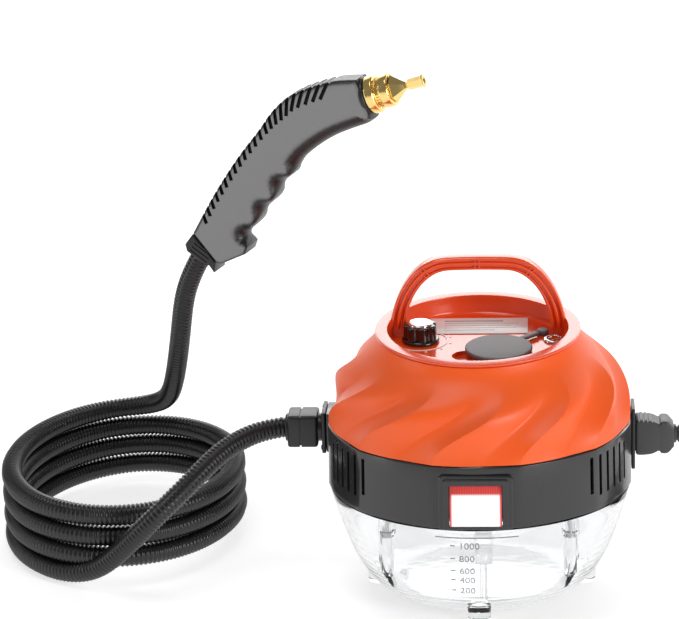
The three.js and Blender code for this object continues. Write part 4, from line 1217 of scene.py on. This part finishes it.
for side, name, stand in ((-1, "gun_front_half", "gun_shell_front"), (1, "gun_back_half", "gun_shell_back")):
    recess = moved(rod(12.3, 4.4, 40, 0.1, 64), NOZZLE_IN_GUN)
    cutters = [*back_slots(), recess]
    if side > 0:
        for x, z in ((-40, -70), (44, 23)):
            well = rod(3.2, 9, 20)
            cutters.append(moved(well, offset(x, 0, z) @ rotation(-90, "X")))
    half = carved(gun_shell(side), cutters)
    item = piece(name, half, gun_plastic, GUN, stands_for=[stand], sharp=30)
    shade_by_height(item)

# %% [markdown]
# ## Brass outlet
#
# The collar is knurled and turns on a fixed spigot. The cone and the tip are cut from hexagonal bar,
# so they keep six flat sides.

# %% Outlet
collar = spun([(6.5, 4.8), (11.7, 4.8), (11.9, 8.2), (13.8, 8.3), (14.4, 9), (14.4, 14.6), (13.7, 15.4),
               (11.7, 15.8), (11.7, 19.4), (12.6, 19.8), (12.6, 25.8), (12, 26.6), (2.5, 26.6), (2.5, 23),
               (6.5, 23)], 0.3, 192)
for vert in collar.verts:
    x, y, z = vert.co
    radius = math.hypot(x, y)
    if 15.7 < z < 19.5 and 11.2 < radius < 12.1:
        knurl = 0.9 * (math.cos(32 * math.atan2(y, x)) < 0)
        vert.co = (x * (1 - knurl / radius), y * (1 - knurl / radius), z)
piece("knurled_collar", collar, brass, NOZZLE, body="nozzle", stands_for=["collar_nut"])
cone = spun([(1, 26.9), (10, 26.9), (10.4, 27.3), (10.4, 28), (3.5, 36.6), (2.8, 38), (1, 38)], 0.15, 6,
            segments=1)
piece("hex_cone", cone, brass, NOZZLE, body="nozzle", stands_for=["nozzle_cone"], sharp=20)
tip = spun([(0.9, 38.3), (2.8, 38.3), (4.2, 40), (4.3, 50), (4.9, 51), (4.9, 52.2), (4.2, 52.4), (2.6, 52.4),
            (0.9, 49.5)], 0.12, 6, segments=1)
piece("hex_tip", tip, brass, NOZZLE, body="nozzle", stands_for=["nozzle_tip"], sharp=20)
lip = spun([(12.35, 4), (14.2, 4), (14.9, 4.8), (14.9, 7), (14.2, 7.9), (12.35, 7.9)], 0.6, 96)
piece("gun_lip", lip, black_satin, NOZZLE)

# %% [markdown]
# ## Boot, gland, coupling and power inlet
#
# The boot joins the hose to the grip. On the base, a plate and a coupling hold the hose on the left,
# and a plate with a well takes the mains connector on the right.

# %% Boot
boot_side = Vector((BOOT_OUT.z, 0, -BOOT_OUT.x))


def boot_corner(s, back):
    spot = BOOT_END + boot_side * s - BOOT_OUT * back
    return spot.x, spot.z


boot_outline = [(-69.7, -66.9), (-51.9, -88.7), (-53.4, -97.6), boot_corner(-11, 2), boot_corner(-9.4, 0),
                boot_corner(9.4, 0), boot_corner(11, 2), (-76.4, -75.4)]
boot = moved(plate(boot_outline, 24, 0), offset(0, 12, 0) @ SIDE_ON)
bmesh.ops.bevel(boot, geom=[e for e in boot.edges if e.calc_length() > 5], offset=1.1, segments=3,
                profile=0.5, affect="EDGES", clamp_overlap=True, material=-1)
boot_cuts = []
turn_boot = Matrix.Rotation(math.atan2(-BOOT_OUT.x, -BOOT_OUT.z), 4, "Y")
for k in range(3):
    centre = BOOT_END - BOOT_OUT * (3.2 + 3.3 * k)
    for face in (-1, 1):
        low, high = sorted((face * 11.2, face * 14))
        groove = block(-8.2, 8.2, low, high, -0.85, 0.85, 0)
        boot_cuts.append(moved(groove, Matrix.Translation(centre) @ turn_boot))
piece("hose_boot", carved(boot, boot_cuts), black_satin, GUN, stands_for=["gun_boot"])

# %% Gland, coupling and inlet
HOSE_PORT = offset(0, 25, 114)
gland = merged(block(-118.4, -115.3, -15.5, 15.5, -15.8, 15.8, 1),
               moved(rod(13, -116, -97.2, 0.4, 64), ALONG_X))
for y in (-12, 12):
    for z in (-12, 12):
        head = spun([(0, -119.3), (1.2, -119.3), (2.2, -118.7), (2.2, -118.2), (0, -118.2)], 0.2, 24)
        gland = merged(gland, moved(head, offset(0, y, z) @ ALONG_X))
piece("gland_plate", gland, black_satin, BASE @ HOSE_PORT, stands_for=["hose_gland"])
coupling = merged(block(-144.6, -121.6, -12.4, 12.4, -12.4, 12.4, 2.2),
                  moved(spun([(0, -146.4), (10, -146.4), (10.5, -145.6), (10.5, -118.7), (0, -118.7)],
                             0.4, 64), ALONG_X))
core = block(-145, -121, -11.4, 11.4, -11.4, 11.4, 2)
groove_frame = carved(block(-135.6, -134, -14, 14, -14, 14, 0), [core])
piece("hose_nut", carved(coupling, [groove_frame]), black_satin, BASE @ HOSE_PORT,
      stands_for=["hose_coupling"])
POWER_PORT = offset(0, PORT_Y, PORT_Z)
inlet = merged(block(112.7, 115.4, -13.5, 13.5, -23.4, 23.4, 0.9),
               block(88, 113.4, -11, 11, -13.4, 13.4, 0.4))
inlet = carved(inlet, [block(94, 120, -9, 9, -11.4, 11.4, 0.4)])
piece("inlet_plate", inlet, black_satin, BASE @ POWER_PORT, stands_for=["power_inlet"])

# %% [markdown]
# ## Inside
#
# The works under the dome can be seen only through the bowl or from below. They keep the shapes that
# they have in the frame, so each only gets a finish.

# %% Finishes inside
INSIDE = (
    (silicone, "tank_seal feed_tube steam_tube"),
    (black_satin, "chassis_plate filler_neck"),
    (steel, "housing_screw_1 housing_screw_2 housing_screw_3 housing_screw_4 boiler_thermostat "
            "switch_terminal_left switch_terminal_right gun_screw_1 gun_screw_2"),
    (cast_metal, "boiler_body steam_regulator"),
    (coil_steel, "heating_element pump_coil"),
    (pale_plastic, "pump_body"),
    (clear_bowl, "suction_tube suction_strainer"),
    (board_green, "control_board"),
    (brass, "gun_steam_tube nozzle_spigot"))
for material, names in INSIDE:
    for name in names.split():
        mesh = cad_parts[name].data
        mesh.materials.clear()
        mesh.materials.append(material)
    print(f"{material.name}: {names}")

# %% [markdown]
# ## Floor and backdrop
#
# The object stands on a studio sweep: pale paper that curves up behind it without a corner. The
# paper glows a little, and more towards the back, so that it stays white under soft lights.

# %% Sweep
FLOOR_HALF, SWEEP_FROM, SWEEP_R = 8, 3.4, 2.0
sweep_line = [(-5, 0), (SWEEP_FROM, 0)]
sweep_line += [(SWEEP_FROM + SWEEP_R * math.sin(a), SWEEP_R - SWEEP_R * math.cos(a))
               for a in (math.pi / 2 * k / 24 for k in range(1, 25))]
sweep_line.append((SWEEP_FROM + SWEEP_R, 6))
sweep = bmesh.new()
row = [sweep.verts.new((-FLOOR_HALF, y, z)) for y, z in sweep_line]
row_edges = [sweep.edges.new(pair) for pair in zip(row, row[1:])]
wide = bmesh.ops.extrude_edge_only(sweep, edges=row_edges)
bmesh.ops.translate(sweep, vec=(2 * FLOOR_HALF, 0, 0),
                    verts=[v for v in wide["geom"] if isinstance(v, bmesh.types.BMVert)])
sweep_mesh = bpy.data.meshes.new("sweep")
sweep.to_mesh(sweep_mesh)
sweep.free()
sweep_mesh.shade_smooth()
paper = grained("studio paper", (0.6, 0.6, 0.6), 0.9, fine=300, bump=0.01, patch=0.005)
tree, shader = paper.node_tree, paper.node_tree.nodes["Principled BSDF"]
split = add_node(tree, "SeparateXYZ", {0: add_node(tree, "TexCoord").outputs["Object"]})
glow = add_node(tree, "MapRange", {"Value": split.outputs["Y"], "From Min": 0.5, "From Max": 2.0,
                                   "To Min": 0.66, "To Max": 0.97})
tree.links.new(glow.outputs["Result"], shader.inputs["Emission Color"])
shader.inputs["Emission Strength"].default_value = 1
sweep_mesh.materials.append(paper)
into_scene("sweep", sweep_mesh)
